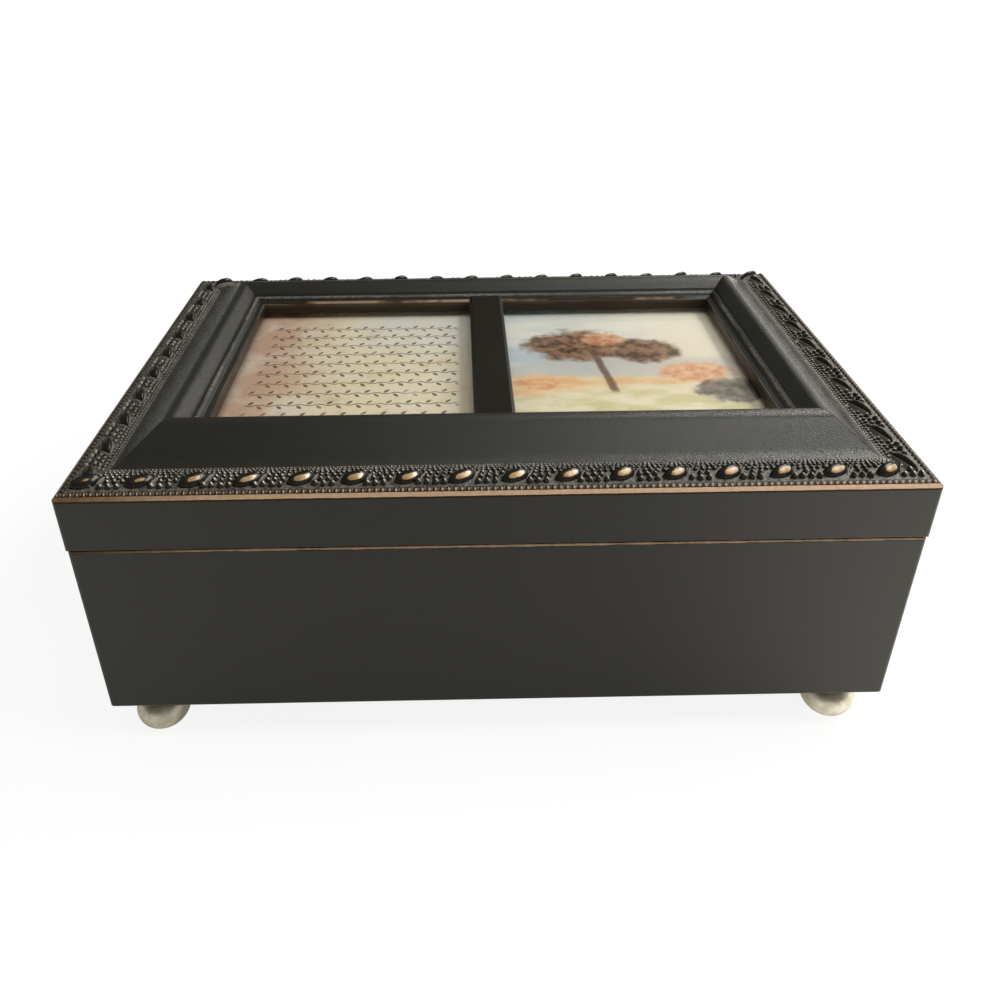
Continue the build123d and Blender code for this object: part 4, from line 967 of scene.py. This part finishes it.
def clump(centre, radii):
    """A soft round mass of leaves, 1 inside it; centre and radii in millimetres."""
    across = maths(tree, "DIVIDE", minus(tree, x, centre[0] * mm), radii[0] * mm)
    upward = maths(tree, "DIVIDE", minus(tree, y, centre[1] * mm), radii[1] * mm)
    squared = plus(tree, times(tree, across, across), times(tree, upward, upward))
    leafy = times(tree, minus(tree, noise(tree, place, 170, 5, 0.6), 0.5), 0.9)
    return ramp(tree, plus(tree, maths(tree, "SQRT", squared), leafy), 0.65, 1.0, 1.0, 0.0)


def bank(height, slope, wander, soft=1.5):
    """Ground below a wandering line, 1 below it; heights in millimetres."""
    level = minus(tree, y, times(tree, x, slope))
    level = plus(tree, level, ragged(tree, place, 45, wander * mm))
    return ramp(tree, level, (height - soft) * mm, (height + soft) * mm, 1.0, 0.0)


brushed = add_node(tree, "ShaderNodeMapping", {"Vector": place, "Scale": (0.45, 1.0, 1.0)}).outputs[0]
strokes = noise(tree, brushed, 170, 4, 0.6)
drift = plus(tree, x, ragged(tree, place, 30, 40 * mm))
across = ramp(tree, drift, 12 * mm, 58 * mm)
picture = blend(tree, across, (0.66, 0.75, 0.80, 1), (0.94, 0.88, 0.75, 1))
clouds = ramp(tree, noise(tree, brushed, 60, 5, 0.6), 0.44, 0.62, 0.0, 0.85)
picture = daub(picture, clouds, (0.96, 0.95, 0.88, 1))
picture = daub(picture, ramp(tree, y, 12 * mm, 30 * mm, 0.0, 0.4), (0.92, 0.91, 0.80, 1))
far_hill = blend(tree, strokes, (0.52, 0.58, 0.62, 1), (0.80, 0.76, 0.66, 1))
picture = daub(picture, times(tree, bank(1.0, 0.05, 14.0, 2.5), 0.6), far_hill)
streaks = ramp(tree, strokes, 0.35, 0.65)
field = blend(tree, streaks, (0.92, 0.60, 0.34, 1), (0.97, 0.82, 0.56, 1))
picture = daub(picture, bank(-5.0, -0.06, 10.0), field)
streaks = ramp(tree, strokes, 0.38, 0.62)
field = blend(tree, streaks, (0.78, 0.74, 0.46, 1), (0.96, 0.91, 0.74, 1))
picture = daub(picture, bank(-17.0, 0.10, 12.0), field)
lean = plus(tree, minus(tree, x, 33 * mm), times(tree, y, 0.10))
from_trunk = maths(tree, "ABSOLUTE", plus(tree, lean, ragged(tree, place, 120, 2 * mm)))
trunk = ramp(tree, from_trunk, 0.6 * mm, 1.7 * mm, 1.0, 0.0)
trunk = times(tree, trunk, ramp(tree, y, 4 * mm, 9 * mm, 0.85, 0.0))
trunk = times(tree, trunk, ramp(tree, y, -17 * mm, -14.5 * mm))
picture = daub(picture, trunk, (0.16, 0.085, 0.05, 1))
dabs = ramp(tree, noise(tree, place, 260, 4, 0.65), 0.36, 0.64)
brown_leaves = blend(tree, dabs, (0.125, 0.072, 0.046, 1), (0.46, 0.28, 0.18, 1))
warm_leaves = blend(tree, dabs, (0.78, 0.34, 0.16, 1), (0.96, 0.66, 0.40, 1))
grey_leaves = blend(tree, dabs, (0.07, 0.066, 0.072, 1), (0.30, 0.26, 0.23, 1))
for share, centre, radii, leaves in (
    (0.9, (60, -5), (12, 7), warm_leaves),
    (0.9, (68, -16), (12, 8), grey_leaves),
    (0.7, (13, -11), (8, 4), warm_leaves),
    (1.0, (27, 13), (19, 12), brown_leaves),
    (1.0, (47, 9), (13, 9), brown_leaves),
    (0.75, (36, 17), (8, 5), warm_leaves),
):
    picture = daub(picture, times(tree, clump(centre, radii), share), leaves)
card_shader(tree, place, picture)
paint_nodes(right_print, "right_picture_card")


# Felt linings
# The walls, floors and partitions of the compartments and the inside of the lid are boards
# covered in black felt, glued in. The lid's small bumpers are felt too.
felt, tree = new_material("black_felt")
place = places(tree)[0]
nap = noise(tree, place, 1800, 4, 0.7)
brushed = times(tree, nap, noise(tree, place, 30, 2))
colour = blend(tree, brushed, (0.008, 0.008, 0.009, 1), (0.055, 0.052, 0.055, 1))
sockets = {"Base Color": colour, "Roughness": 0.95, "Sheen Weight": 0.6, "Sheen Roughness": 0.5}
principled(tree, {**sockets, "Normal": bump(tree, 0.5, 0.0003, nap)})
paint_nodes(felt, "front_lining", "back_lining", "left_lining", "right_lining", "floor_linings")
paint_nodes(felt, "long_partition", "cross_partition", "lid_lining", "lid_bumpers")


# Plain boards
# The bottom panel, the cover's ledges and the board behind the pictures are unpainted hardboard.
# The panel sits in grooves of the walls.
hardboard, tree = new_material("hardboard")
place = places(tree)[0]
fibres = add_node(tree, "ShaderNodeMapping", {"Vector": place, "Scale": (1.0, 0.25, 1.0)})
fine = noise(tree, fibres.outputs[0], 900, 4, 0.7)
broad = noise(tree, place, 40, 3)
colour = blend(tree, fine, (0.14, 0.078, 0.040, 1), (0.30, 0.19, 0.105, 1))
colour = blend(tree, times(tree, broad, 0.4), colour, (0.16, 0.10, 0.06, 1))
bumped = bump(tree, 0.3, 0.0002, fine)
principled(tree, {"Base Color": colour, "Roughness": 0.7, "Normal": bumped})
paint_nodes(hardboard, "bottom_panel", "cover_ledges", "backing_board")


# Clear cover
# A polished sheet of clear plastic lies on two ledges over the movement, which shows through it.
cover_plastic = clear_sheet("cover_plastic", (0.93, 0.96, 0.97, 1), 1.49, 0.8, 80, 2, 0.12)
paint_nodes(cover_plastic, "movement_cover")


# Metalwork
# Brass hinges, wheels and drum; steel comb, screws, axles, brackets and key; a bedplate cast in
# zinc under bronze paint.
def metal(name, dark, light, roughness, stretch):
    """Bare metal with brushed grain and light tarnish."""
    material, tree = new_material(name)
    place = places(tree)[0]
    along = add_node(tree, "ShaderNodeMapping", {"Vector": place, "Scale": stretch})
    grain = noise(tree, along.outputs[0], 2500, 3, 0.6)
    tarnish = noise(tree, place, 110, 4, 0.6)
    colour = blend(tree, ramp(tree, tarnish, 0.35, 0.65), dark, light)
    gloss = plus(tree, roughness, times(tree, grain, 0.14))
    bumped = bump(tree, 0.15, 0.0001, grain)
    principled(tree, {"Base Color": colour, "Metallic": 1.0, "Roughness": gloss, "Normal": bumped})
    return material


brass = metal("bright_brass", (0.52, 0.36, 0.13, 1), (0.72, 0.53, 0.23, 1), 0.18, (1.0, 0.2, 1.0))
paint_nodes(brass, "case_hinge_leaves", "lid_hinge_leaves")
paint_nodes(brass, "pinned_drum", "drum_pinion", "drum_wheel", "crown_wheel")
steel = metal("bright_steel", (0.42, 0.42, 0.43, 1), (0.60, 0.60, 0.61, 1), 0.16, (0.2, 1.0, 1.0))
paint_nodes(steel, "foot_studs", "case_hinge_screws", "lid_hinge_screws", "hinge_pins")
paint_nodes(steel, "comb", "comb_screws", "mounting_screws", "bracket_screws", "retaining_points")
paint_nodes(steel, "mainspring", "spring_housing", "winding_arbor", "winding_key", "drum_axle")
paint_nodes(steel, "intermediate_pinion", "governor_worm", "stop_rod")
paint_nodes(steel, "front_bearing_bracket", "rear_bearing_bracket", "governor_bracket")

bronze_paint, tree = new_material("bronze_paint")
place = places(tree)[0]
pits = noise(tree, place, 1300, 4, 0.65)
colour = blend(tree, noise(tree, place, 70, 3), (0.28, 0.20, 0.10, 1), (0.42, 0.32, 0.17, 1))
bumped = bump(tree, 0.4, 0.0002, pits)
principled(tree, {"Base Color": colour, "Metallic": 0.7, "Roughness": 0.45, "Normal": bumped})
paint_nodes(bronze_paint, "movement_bedplate")


# Moulded wheels
# The worm wheel and the air brake are moulded in black nylon and left bare.
nylon, tree = new_material("black_nylon")
place = places(tree)[0]
haze = noise(tree, place, 900, 3)
colour = blend(tree, haze, (0.010, 0.010, 0.011, 1), (0.030, 0.030, 0.032, 1))
principled(tree, {"Base Color": colour, "Roughness": plus(tree, 0.3, times(tree, haze, 0.15))})
paint_nodes(nylon, "worm_wheel", "air_brake")
